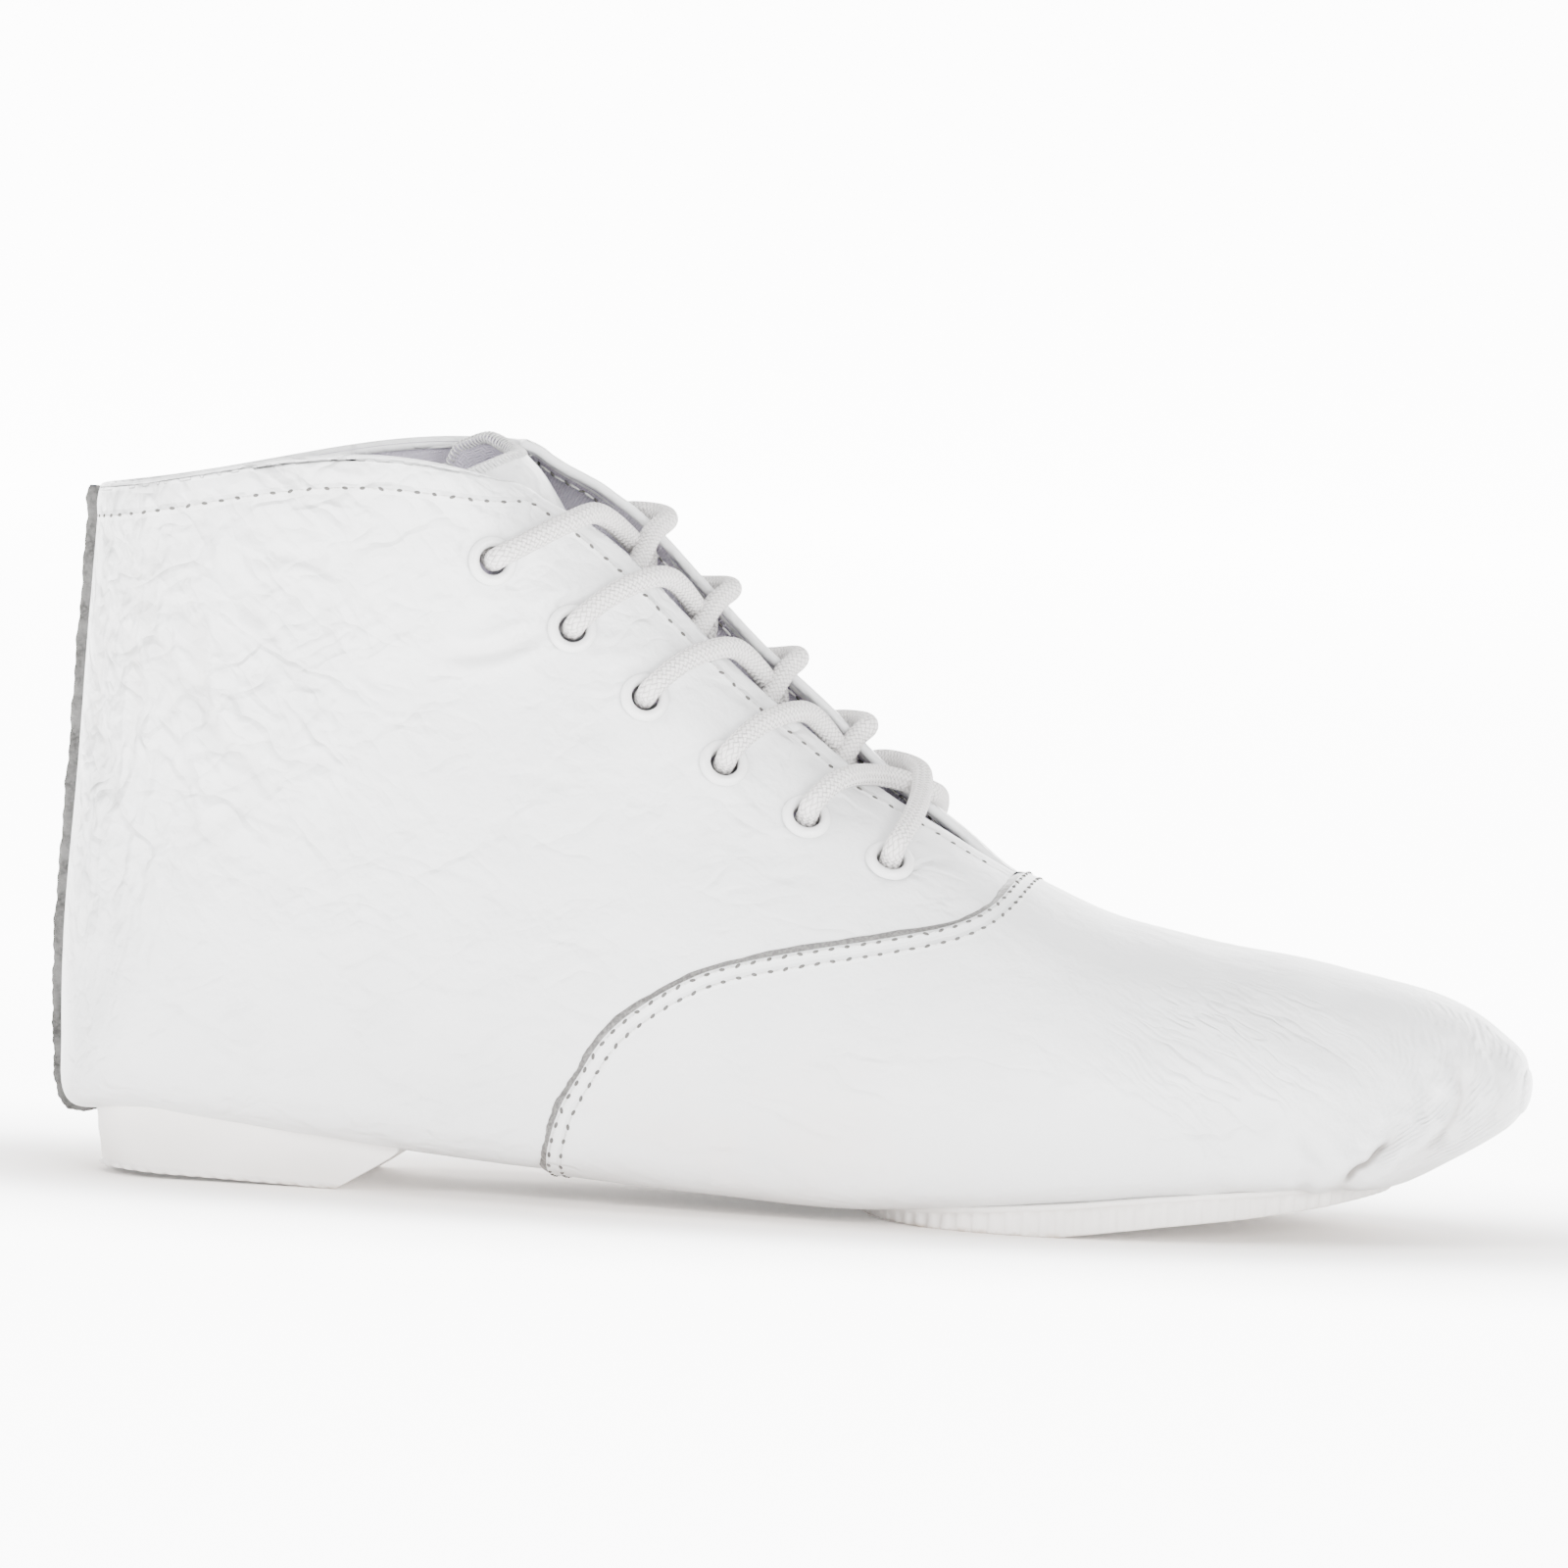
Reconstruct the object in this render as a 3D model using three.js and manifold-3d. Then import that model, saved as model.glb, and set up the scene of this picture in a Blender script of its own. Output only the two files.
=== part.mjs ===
// A low dance boot for the right foot, in millimetres: soft leather upper, split rubber sole, laced front.
// +X points to the toe, +Y to the medial side, +Z up. The floor is z = 0.
// The origin is the middle of the heel block's flat underside, where the boot rests.
import * as THREE from "three";
import { mergeVertices } from "three/addons/utils/BufferGeometryUtils.js";
import Module from "manifold-3d";

const wasm = await Module();
wasm.setup();

// Named sizes of the last
const LENGTH = 258.4; // back of the heel to the toe tip, under the vamp
const BALL_WIDTH = 88;
const TOE_SPRING = 17.3; // rise of the toe tip's underside over the ball's
const INSTEP_HEIGHT = 59.9; // floor to the throat of the vamp
const HEEL_HEIGHT = 11.2; // floor to the upper's underside at the heel
const ANKLE_WIDTH = 59;
const BACK_HEIGHT = 119.7; // floor to the top of the back seam
const FRONT_HEIGHT = 124.3; // floor to the lateral front corner of the collar
const MEDIAL_RISE = 6.4; // how far the medial front corner stands over the lateral one
const COLLAR_BOW = 5; // rise of the collar line between its two ends
const FACING_GAP = 23; // between the two front edges at the collar

// Named sizes of the leather pieces
const UPPER_WALL = 1.7;
const VAMP_STEP = 0.9; // the vamp's edge stands this far over the quarters
const SEAM_FIN_RISE = 1.5;
const SEAM_FIN_THICKNESS = 1.8;
const LASTING_MARGIN = 12; // leather turned in under the foot, round each opening below
const TONGUE_THICKNESS = 2;
const INSOLE_THICKNESS = 2.4;

// Named sizes of the rubber
const SOLE_THICKNESS = 4.2; // under the ball
const SOLE_LIP = 1; // smooth edge over the ribs
const SOLE_LIP_STEP = 0.4; // the lip stands this far outside the ribs
const RIB_PITCH = 3;
const RIB_DEPTH = 0.5;
const HEEL_WIDTH = 49;
const HEEL_TAPER = 1.2; // each side leans in by this much towards the floor
const HEEL_CORNER_RADIUS = 15;
const HEEL_BREAST_LEAN = 13; // the breast runs forward by this much from the floor up

// Named sizes of the eyelets and the lace
const EYELET_FLANGE = 8.7;
const EYELET_HOLE = 4.9;
const EYELET_BARREL = 6.1;
const EYELET_DOME = 0.8; // thickness of the flange
const EYELET_INSET = 19.4; // from the front edge to the hole's centre, over the leather
const LACE_DIAMETER = 3.8;
const LACE_PRESS = 0.84; // two soft strands that cross lie this share of their diameter apart

const CLEARANCE = 0.3; // between pieces that touch in the real boot
const FACET_ALLOWANCE = 0.2; // room for a flat ring or a straight step on a curved wall
const BALL_HEIGHT = SOLE_THICKNESS + VAMP_STEP + CLEARANCE; // floor to the upper's form at the ball

const MATERIALS = {
  leather: new THREE.MeshStandardMaterial({ color: 0xf1f1f1, roughness: 0.42, metalness: 0 }),
  lining: new THREE.MeshStandardMaterial({ color: 0xe3e0e8, roughness: 0.9, metalness: 0 }),
  rubber: new THREE.MeshStandardMaterial({ color: 0xece8e4, roughness: 0.6, metalness: 0 }),
  enamel: new THREE.MeshStandardMaterial({ color: 0xf0f0ef, roughness: 0.3, metalness: 0 }),
  cotton: new THREE.MeshStandardMaterial({ color: 0xe9e6e5, roughness: 0.95, metalness: 0 }),
};

// Sections of the upper, from the toe to the collar. Each one runs from a point under the foot (or on the
// heel's back) to a point on the crest (or on the facing's edge), and bulges to both sides in between.
// under, crest: place in the side view. lateral, medial: half widths. swing: the centre line's way to the
// medial side. widest: how far up the greatest width lies. flat, side, dome: roundness below, beside, above.
const rowsOf = (columns, table) =>
  table.map((row) => Object.fromEntries(columns.map((name, i) => [name, row[i]])));

// underX, crestX: shares of LENGTH. underZ: of TOE_SPRING. crestZ: of INSTEP_HEIGHT. Widths and swing: of
// BALL_WIDTH.
const closedSections = rowsOf(
  ["underX", "underZ", "crestX", "crestZ", "lateral", "medial", "swing", "widest", "flat", "side", "dome"],
  [
    [0.995, 1.0, 0.997, 0.49, 0.08, 0.08, 0.1, 0.5, 2.2, 2.2, 2.1],
    [0.984, 0.82, 0.989, 0.555, 0.15, 0.148, 0.1, 0.48, 2.4, 2.2, 2.1],
    [0.954, 0.54, 0.946, 0.675, 0.26, 0.25, 0.096, 0.42, 3.2, 2.6, 2.1],
    [0.912, 0.25, 0.897, 0.732, 0.345, 0.335, 0.08, 0.37, 5, 3, 2.1],
    [0.851, 0.2, 0.823, 0.785, 0.42, 0.412, 0.062, 0.34, 7.5, 3.6, 2.05],
    [0.776, 0.11, 0.757, 0.84, 0.474, 0.466, 0.045, 0.32, 9, 4, 2],
    [0.707, 0, 0.702, 0.902, 0.5, 0.494, 0.028, 0.31, 9, 4.4, 2],
    [0.625, -0.11, 0.65, 1, 0.488, 0.478, 0.012, 0.29, 9, 4.4, 1.95],
  ],
);

// underX, crestX: shares of LENGTH. underZ: of HEEL_HEIGHT. crestZ: of the way from the instep to the collar's
// front. Widths: of ANKLE_WIDTH. gap: of FACING_GAP. riseX, riseZ: the medial crest's shift, of MEDIAL_RISE.
const laceSections = rowsOf(
  [
    "underX", "underZ", "crestX", "crestZ", "lateral", "medial", "widest", "flat", "side", "dome",
    "gap", "riseX", "riseZ",
  ],
  [
    [0.55, 0.23, 0.611, 0.09, 0.7, 0.655, 0.27, 8, 4.4, 1.8, 0.16, 0.1, 0.2],
    [0.467, 0.32, 0.554, 0.223, 0.65, 0.58, 0.25, 8, 4.4, 1.75, 0.27, 0.25, 0.4],
    [0.382, 0.42, 0.505, 0.37, 0.6, 0.52, 0.25, 8, 4.6, 1.7, 0.38, 0.4, 0.6],
    [0.296, 0.54, 0.459, 0.517, 0.56, 0.495, 0.27, 9, 4.8, 1.7, 0.5, 0.4, 0.65],
    [0.211, 0.7, 0.42, 0.666, 0.53, 0.49, 0.3, 10, 5, 1.75, 0.61, 0.4, 0.65],
    [0.126, 0.85, 0.391, 0.781, 0.515, 0.495, 0.34, 10, 5, 1.8, 0.7, 0.35, 0.7],
    [0.05, 0.96, 0.37, 0.852, 0.51, 0.495, 0.37, 8, 3.8, 1.85, 0.77, 0.3, 0.75],
  ],
);

// As above, but underZ: share of the way from the heel to the collar's back. bow: of COLLAR_BOW.
const backSections = rowsOf(
  [
    "underX", "underZ", "crestX", "crestZ", "lateral", "medial", "widest", "flat", "side", "dome",
    "gap", "riseX", "riseZ", "bow",
  ],
  [
    [0.01, 0.004, 0.356, 0.891, 0.508, 0.492, 0.4, 4.2, 2.8, 1.9, 0.81, 0.2, 0.8, 0],
    [0.002, 0.11, 0.347, 0.915, 0.505, 0.492, 0.42, 2.8, 2.4, 1.95, 0.84, 0.1, 0.85, 0.06],
    [0, 0.284, 0.337, 0.933, 0.5, 0.49, 0.45, 2.4, 2.3, 2, 0.87, 0, 0.9, 0.18],
    [0.004, 0.52, 0.327, 0.953, 0.494, 0.484, 0.47, 2.3, 2.3, 2, 0.92, -0.12, 0.93, 0.43],
    [0.008, 0.77, 0.317, 0.974, 0.484, 0.473, 0.49, 2.3, 2.3, 2, 0.96, -0.2, 0.98, 0.72],
    [0.012, 1, 0.304, 1, 0.475, 0.46, 0.5, 2.3, 2.3, 2, 1, -0.33, 1.03, 1],
  ],
);

// The sections in millimetres, with the same fields in each, so that neighbours can be blended.
const between = (low, high, share) => low + (high - low) * share;
const facingSection = (s, underZ) => ({
  ...s,
  underX: s.underX * LENGTH,
  underZ,
  crestX: s.crestX * LENGTH,
  crestZ: between(INSTEP_HEIGHT, FRONT_HEIGHT, s.crestZ),
  lateral: s.lateral * ANKLE_WIDTH,
  medial: s.medial * ANKLE_WIDTH,
  swing: 0,
  gap: (s.gap * FACING_GAP) / 2,
  riseX: s.riseX * MEDIAL_RISE,
  riseZ: s.riseZ * MEDIAL_RISE,
  bow: (s.bow ?? 0) * COLLAR_BOW,
});
const sections = [
  ...closedSections.map((s) => ({
    ...s,
    underX: s.underX * LENGTH,
    underZ: BALL_HEIGHT + s.underZ * TOE_SPRING,
    crestX: s.crestX * LENGTH,
    crestZ: s.crestZ * INSTEP_HEIGHT,
    lateral: s.lateral * BALL_WIDTH,
    medial: s.medial * BALL_WIDTH,
    swing: s.swing * BALL_WIDTH,
    gap: 0,
    riseX: 0,
    riseZ: 0,
    bow: 0,
  })),
  ...laceSections.map((s) => facingSection(s, s.underZ * HEEL_HEIGHT)),
  ...backSections.map((s) => facingSection(s, between(HEEL_HEIGHT, BACK_HEIGHT, s.underZ))),
];
const THROAT = closedSections.length - 1; // the last section that is closed at the crest
const HEEL_CORNER = THROAT + laceSections.length + 1;
const COLLAR = sections.length - 1;

// The section at a place t between the rows, on a smooth curve through them.
function sectionAt(t) {
  const i = Math.min(Math.max(Math.floor(t), 0), COLLAR - 1);
  const f = t - i;
  const [a, b, c, d] = [i - 1, i, i + 1, i + 2].map((k) => sections[Math.min(Math.max(k, 0), COLLAR)]);
  const section = {};
  for (const key of Object.keys(b)) {
    const slopeB = (c[key] - a[key]) / 2;
    const slopeC = (d[key] - b[key]) / 2;
    section[key] =
      b[key] * (2 * f ** 3 - 3 * f ** 2 + 1) +
      slopeB * (f ** 3 - 2 * f ** 2 + f) +
      c[key] * (3 * f ** 2 - 2 * f ** 3) +
      slopeC * (f ** 3 - f ** 2);
  }
  if (t <= THROAT) section.gap = 0;
  section.gap = Math.max(section.gap, 0);
  return section;
}

// The place t of the section whose under point has this x, on the foot's underside.
function placeUnder(x) {
  let low = 0;
  let high = HEEL_CORNER;
  for (let step = 0; step < 30; step++) {
    const middle = (low + high) / 2;
    if (sectionAt(middle).underX > x) low = middle;
    else high = middle;
  }
  return low;
}

// A point of a section: up is the share of the way from under to crest, y the distance from the plane y = 0.
function sectionPoint(s, side, up, y) {
  const axis = new THREE.Vector2(s.crestX - s.underX, s.crestZ - s.underZ);
  const across = new THREE.Vector2(-axis.y, axis.x).normalize();
  const bow = s.bow * Math.sin(Math.PI * up ** 1.5);
  const lift = side > 0 ? up ** 4 : 0;
  return new THREE.Vector3(
    s.underX + axis.x * up + across.x * bow + s.riseX * lift,
    y,
    s.underZ + axis.y * up + across.y * bow + s.riseZ * lift,
  );
}

// Half a section on one side (-1 lateral, 1 medial), from the crest over the widest place and the corner of
// the underside to the under point, evenly spaced within each of these three stretches.
function halfSection(s, side, [stepsDome, stepsSide, stepsFlat]) {
  const width = side < 0 ? s.lateral : s.medial;
  const fine = 24;
  const quarter = (from, to, at) => {
    const points = [];
    for (let i = 0; i <= fine; i++) points.push(at(between(from, to, i / fine)));
    return points;
  };
  const above = quarter(0, Math.PI / 2, (angle) => {
    const up = s.widest + (1 - s.widest) * Math.max(Math.cos(angle), 0) ** (2 / s.dome);
    const out = s.gap + (width - s.gap) * Math.sin(angle) ** (2 / s.dome);
    return sectionPoint(s, side, up, s.swing + side * out);
  });
  const below = (angle) => {
    const up = s.widest * (1 - Math.sin(angle) ** (2 / s.flat));
    return sectionPoint(s, side, up, s.swing + side * width * Math.max(Math.cos(angle), 0) ** (2 / s.side));
  };
  return [
    ...evenly(above, stepsDome),
    ...evenly(quarter(0, Math.PI / 4, below), stepsSide).slice(1),
    ...evenly(quarter(Math.PI / 4, Math.PI / 2, below), stepsFlat).slice(1),
  ];
}

// The points of a polyline at equal steps along it.
function evenly(points, steps) {
  const path = new THREE.CurvePath();
  for (let i = 1; i < points.length; i++) path.add(new THREE.LineCurve3(points[i - 1], points[i]));
  const lengths = path.getCurveLengths();
  const total = lengths[lengths.length - 1];
  const result = [];
  let piece = 0;
  for (let i = 0; i <= steps; i++) {
    const target = (total * i) / steps;
    while (piece < lengths.length - 1 && lengths[piece] < target) piece++;
    const before = piece ? lengths[piece - 1] : 0;
    const span = lengths[piece] - before || 1;
    result.push(points[piece].clone().lerp(points[piece + 1], Math.min((target - before) / span, 1)));
  }
  return result;
}

// The upper's form as a grid of points with outward normals: rows from toe to collar, columns from the lateral
// crest down under the foot and up to the medial crest.
const ROW_STEPS = 2;
const COLUMN_STEPS = [6, 4, 3]; // over the dome, down the side, across the underside
const COLUMNS = 2 * (COLUMN_STEPS[0] + COLUMN_STEPS[1] + COLUMN_STEPS[2]);
const THROAT_ROW = THROAT * ROW_STEPS;
const formRows = [];
for (let i = 0; i <= COLLAR * ROW_STEPS; i++) {
  const s = sectionAt(i / ROW_STEPS);
  const lateral = halfSection(s, -1, COLUMN_STEPS);
  const medial = halfSection(s, 1, COLUMN_STEPS).reverse();
  formRows.push([...lateral, ...medial.slice(1)]);
}
const formNormals = formRows.map((row, i) =>
  row.map((point, j) => {
    const closed = i <= THROAT_ROW;
    const ahead = formRows[Math.max(i - 1, 0)][j];
    const behind = formRows[Math.min(i + 1, formRows.length - 1)][j];
    const before = closed && j === 0 ? row[COLUMNS - 1] : row[Math.max(j - 1, 0)];
    const after = closed && j === COLUMNS ? row[1] : row[Math.min(j + 1, COLUMNS)];
    const along = ahead.clone().sub(behind);
    if (closed && (j === 0 || j === COLUMNS)) along.y = 0;
    return after.clone().sub(before).cross(along).normalize();
  }),
);
const toeTip = new THREE.Vector3(LENGTH, formRows[0][0].y, (sections[0].underZ + sections[0].crestZ) / 2);

// Collects points and triangles of one solid.
class Skin {
  constructor() {
    this.positions = [];
    this.triangles = [];
  }
  point(p) {
    this.positions.push(p.x, p.y, p.z);
    return this.positions.length / 3 - 1;
  }
  triangle(a, b, c) {
    if (a !== b && b !== c && a !== c) this.triangles.push(a, b, c);
  }
  quad(a, b, c, d) {
    this.triangle(a, b, c);
    this.triangle(a, c, d);
  }
  // A strip of quads between two lines of points; turned makes it face the other way, with the same diagonals.
  strip(first, second, turned = false) {
    for (let i = 1; i < first.length; i++) {
      if (turned) this.quad(first[i - 1], second[i - 1], second[i], first[i]);
      else this.quad(first[i - 1], first[i], second[i], second[i - 1]);
    }
  }
  solid() {
    return new wasm.Manifold(
      new wasm.Mesh({
        numProp: 3,
        vertProperties: new Float32Array(this.positions),
        triVerts: new Uint32Array(this.triangles),
      }),
    );
  }
}

// The form's surface at a distance outside it (less than 0: inside), as indices in the skin, the toe tip
// first. The facings' edges can run on over the gap by some more.
function addForm(skin, distance, edgeGrowth = 0) {
  const tip = skin.point(toeTip.clone().add(new THREE.Vector3(distance, 0, 0)));
  const rows = formRows.map((row, i) => {
    const indices = row.map((p, j) => {
      if (i <= THROAT_ROW && j === COLUMNS) return -1;
      const moved = p.clone().addScaledVector(formNormals[i][j], distance);
      const atEdge = i > THROAT_ROW && (j === 0 || j === COLUMNS);
      const next = j === 0 ? row[1] : row[COLUMNS - 1];
      if (atEdge) moved.addScaledVector(p.clone().sub(next).normalize(), edgeGrowth);
      return skin.point(moved);
    });
    if (i <= THROAT_ROW) indices[COLUMNS] = indices[0];
    return indices;
  });
  return { tip, rows };
}

// A shell between two distances from the form, open at the facings and the collar.
function formShell(outside, inside, edgeGrowth) {
  const skin = new Skin();
  const outer = addForm(skin, outside, edgeGrowth);
  const inner = addForm(skin, inside, edgeGrowth);
  skin.strip(outer.rows[0], outer.rows[0].map(() => outer.tip));
  skin.strip(inner.rows[0], inner.rows[0].map(() => inner.tip), true);
  for (let i = 1; i < formRows.length; i++) {
    skin.strip(outer.rows[i], outer.rows[i - 1]);
    skin.strip(inner.rows[i], inner.rows[i - 1], true);
  }
  const open = formRows.map((row, i) => i).slice(THROAT_ROW);
  skin.strip(open.map((i) => inner.rows[i][0]), open.map((i) => outer.rows[i][0]));
  skin.strip(open.map((i) => outer.rows[i][COLUMNS]), open.map((i) => inner.rows[i][COLUMNS]));
  const last = formRows.length - 1;
  skin.strip(inner.rows[last], outer.rows[last]);
  return skin.solid();
}

// The form filled up, at a distance from it, closed over the gap and the collar.
function formSolid(distance) {
  const skin = new Skin();
  const { tip, rows } = addForm(skin, distance);
  skin.strip(rows[0], rows[0].map(() => tip));
  for (let i = 1; i < rows.length; i++) {
    skin.strip(rows[i], rows[i - 1]);
    skin.quad(rows[i][0], rows[i - 1][0], rows[i - 1][COLUMNS], rows[i][COLUMNS]);
  }
  const top = rows[rows.length - 1];
  for (let j = 0; j < COLUMNS / 2; j++) skin.quad(top[j + 1], top[j], top[COLUMNS - j], top[COLUMNS - j - 1]);
  return skin.solid();
}

// A three.js geometry as a solid.
function solidOf(geometry) {
  const bare = geometry.clone();
  bare.deleteAttribute("normal");
  bare.deleteAttribute("uv");
  const merged = mergeVertices(bare, 1e-4);
  const skin = new Skin();
  skin.positions = Array.from(merged.attributes.position.array);
  skin.triangles = Array.from(merged.index.array);
  return skin.solid();
}

function meshOf(name, solid, material) {
  const { vertProperties, triVerts } = solid.getMesh();
  const geometry = new THREE.BufferGeometry();
  geometry.setAttribute("position", new THREE.BufferAttribute(vertProperties, 3));
  geometry.setIndex(new THREE.BufferAttribute(triVerts, 1));
  geometry.computeVertexNormals();
  const mesh = new THREE.Mesh(geometry, material);
  mesh.name = name;
  return mesh;
}

// A plan outline (points x, y) pushed up from one height to another.
function pushUp(outline, bottom, top) {
  const options = { depth: top - bottom, bevelEnabled: false };
  const geometry = new THREE.ExtrudeGeometry(new THREE.Shape(outline), options);
  return solidOf(geometry.translate(0, 0, bottom));
}

// A side outline (points x, z) pushed across from one y to another.
function pushAcross(outline, right, left) {
  const options = { depth: left - right, bevelEnabled: false };
  const geometry = new THREE.ExtrudeGeometry(new THREE.Shape(outline), options);
  return solidOf(geometry.rotateX(Math.PI / 2).translate(0, left, 0));
}

const point2 = (x, z) => new THREE.Vector2(x, z);
const WIDE = 2 * BALL_WIDTH; // further out than any piece

// Upper

// The vamp's seam in the side view, from the throat to the feather line: shares of LENGTH and INSTEP_HEIGHT.
const vampSeam = [
  [0.651, 1.015],
  [0.641, 0.937],
  [0.62, 0.886],
  [0.586, 0.85],
  [0.488, 0.763],
  [0.439, 0.68],
  [0.396, 0.543],
  [0.373, 0.394],
  [0.359, 0.27],
  [0.351, 0.1],
];
function vampRegion() {
  const chosen = vampSeam.map(([x, z]) => point2(x * LENGTH, z * INSTEP_HEIGHT));
  const seam = new THREE.SplineCurve(chosen).getPoints(26);
  const top = seam[0];
  const end = seam[seam.length - 1];
  const outline = [
    point2(top.x, top.y + INSTEP_HEIGHT),
    ...seam,
    point2(end.x, -HEEL_HEIGHT),
    point2(1.1 * LENGTH, -HEEL_HEIGHT),
    point2(1.1 * LENGTH, top.y + INSTEP_HEIGHT),
  ];
  return pushAcross(outline, -WIDE, WIDE);
}

// The raw edges of the two quarters stand out along the back as a thin fin.
function backSeamFin() {
  const outside = [];
  const inside = [];
  const steps = 14;
  const first = HEEL_CORNER + 0.15;
  for (let i = 0; i <= steps; i++) {
    const t = between(first, COLLAR, i / steps);
    const s = sectionAt(t);
    const next = sectionAt(Math.min(t + 0.05, COLLAR));
    const last = sectionAt(Math.min(t + 0.05, COLLAR) - 0.1);
    const along = point2(next.underX - last.underX, next.underZ - last.underZ).normalize();
    const away = point2(-along.y, along.x);
    const grow = Math.min(1, (4 * i) / steps);
    outside.push(point2(s.underX, s.underZ).addScaledVector(away, SEAM_FIN_RISE * grow));
    inside.push(point2(s.underX, s.underZ).addScaledVector(away, -UPPER_WALL / 2));
  }
  return pushAcross([...outside, ...inside.reverse()], -SEAM_FIN_THICKNESS / 2, SEAM_FIN_THICKNESS / 2);
}

// Outline of a sole part in plan: it follows the upper's width as a share, and rounds off at both ends.
function planOutline({ rear, front, share, roundRear, roundFront, inset = 0, steps = 36 }) {
  const sides = [[], []];
  for (let i = 0; i <= steps; i++) {
    const along = (1 - Math.cos((i / steps) * Math.PI)) / 2;
    const x = between(rear + inset, front - inset, along);
    const s = sectionAt(placeUnder(x));
    const ends = Math.abs(2 * along - 1);
    const round = (1 - ends ** (along < 0.5 ? roundRear : roundFront)) ** 0.5;
    sides[0].push(point2(x, s.swing - (s.lateral * share - inset) * round));
    sides[1].push(point2(x, s.swing + (s.medial * share - inset) * round));
  }
  return [...sides[0], ...sides[1].reverse().slice(1, -1)];
}

const forefootPlan = {
  rear: 0.555 * LENGTH,
  front: 0.905 * LENGTH,
  share: 0.925,
  roundRear: 3.2,
  roundFront: 3.2,
};
const heelPlan = { rear: 0.028 * LENGTH, front: 0.262 * LENGTH }; // front: at the top of the breast

function upper() {
  const forefootOutline = planOutline({ ...forefootPlan, inset: LASTING_MARGIN, steps: 20 });
  const openForefoot = pushUp(forefootOutline, -HEEL_HEIGHT, BALL_HEIGHT + TOE_SPRING / 2);
  const heelOpening = new THREE.Shape();
  const half = HEEL_WIDTH / 2 - LASTING_MARGIN;
  const rear = heelPlan.rear + LASTING_MARGIN + half;
  const front = heelPlan.front - LASTING_MARGIN - half;
  heelOpening.absarc(rear, 0, half, Math.PI / 2, (3 * Math.PI) / 2, false);
  heelOpening.absarc(front, 0, half, -Math.PI / 2, Math.PI / 2, false);
  const openHeel = pushUp(heelOpening.getPoints(8), -HEEL_HEIGHT, HEEL_HEIGHT + 3 * UPPER_WALL);
  let solid = formShell(0, -UPPER_WALL);
  solid = solid.add(formShell(VAMP_STEP, -UPPER_WALL / 2).intersect(vampRegion()));
  solid = solid.add(backSeamFin());
  solid = solid.subtract(openForefoot).subtract(openHeel);
  for (const place of eyeletPlaces()) solid = solid.subtract(eyeletBore(place));
  return solid;
}

// Sole

// The forefoot sole's underside in the side view: shares of LENGTH, and height as shares of TOE_SPRING.
const treadLine = [
  [0.54, 0.02],
  [0.585, 0.012],
  [0.61, 0],
  [0.706, 0],
  [0.735, 0.06],
  [0.777, 0.145],
  [0.828, 0.237],
  [0.879, 0.345],
  [0.912, 0.44],
  [0.95, 0.6],
];

// The smooth line where the upper meets its rubber, in the side view: the upper's underside, with a lift.
function featherLine(rear, front, lift) {
  const points = [];
  const steps = 14;
  for (let i = 0; i <= steps; i++) {
    const x = between(rear, front, i / steps);
    points.push(point2(x, sectionAt(placeUnder(x)).underZ + lift));
  }
  return points;
}

// The same outline with ribs: it steps in and out by their depth all round.
function ribbed(outline, ribDepth) {
  const loop = new THREE.CurvePath();
  const closed = [...outline, outline[0]];
  for (let i = 1; i < closed.length; i++) loop.add(new THREE.LineCurve(closed[i - 1], closed[i]));
  const count = 2 * Math.round(loop.getLength() / RIB_PITCH);
  const points = [];
  for (let i = 0; i < count; i++) {
    const along = loop.getTangentAt(i / count);
    const depth = i % 2 ? ribDepth : 0;
    points.push(loop.getPointAt(i / count).addScaledVector(point2(-along.y, along.x), depth));
  }
  return points;
}

function forefootSole() {
  const rear = forefootPlan.rear - RIB_PITCH;
  const front = forefootPlan.front + RIB_PITCH;
  const high = 2 * SOLE_THICKNESS + TOE_SPRING;
  const lipTop = featherLine(rear, front, SOLE_LIP / 2);
  const lipBottom = featherLine(rear, front, -SOLE_LIP / 2);
  const tread = treadLine.map(([x, rise]) => point2(x * LENGTH, rise * TOE_SPRING));
  const overTread = pushAcross([...tread, point2(front, high), point2(rear, high)], -WIDE, WIDE);
  const lipBack = lipTop.slice().reverse();
  const underTop = pushAcross([point2(rear, -high), point2(front, -high), ...lipBack], -WIDE, WIDE);
  const lipBand = pushAcross([...lipBottom, ...lipBack], -WIDE, WIDE);
  // The ribs end under a smooth band, so that the room for the upper never cuts into their grooves.
  const ribTop = featherLine(rear, front, -VAMP_STEP - SOLE_LIP);
  const smoothBand = pushAcross([...ribTop, ...lipBack], -WIDE, WIDE);
  const plan = planOutline(forefootPlan);
  const band = pushUp(ribbed(plan, 0), 0, high).intersect(smoothBand);
  const block = pushUp(ribbed(plan, RIB_DEPTH), 0, high).intersect(underTop);
  const lip = pushUp(planOutline({ ...forefootPlan, inset: -SOLE_LIP_STEP }), 0, high).intersect(lipBand);
  const pad = block.add(band).add(lip).intersect(overTread);
  return pad.subtract(formSolid(VAMP_STEP + CLEARANCE));
}

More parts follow.
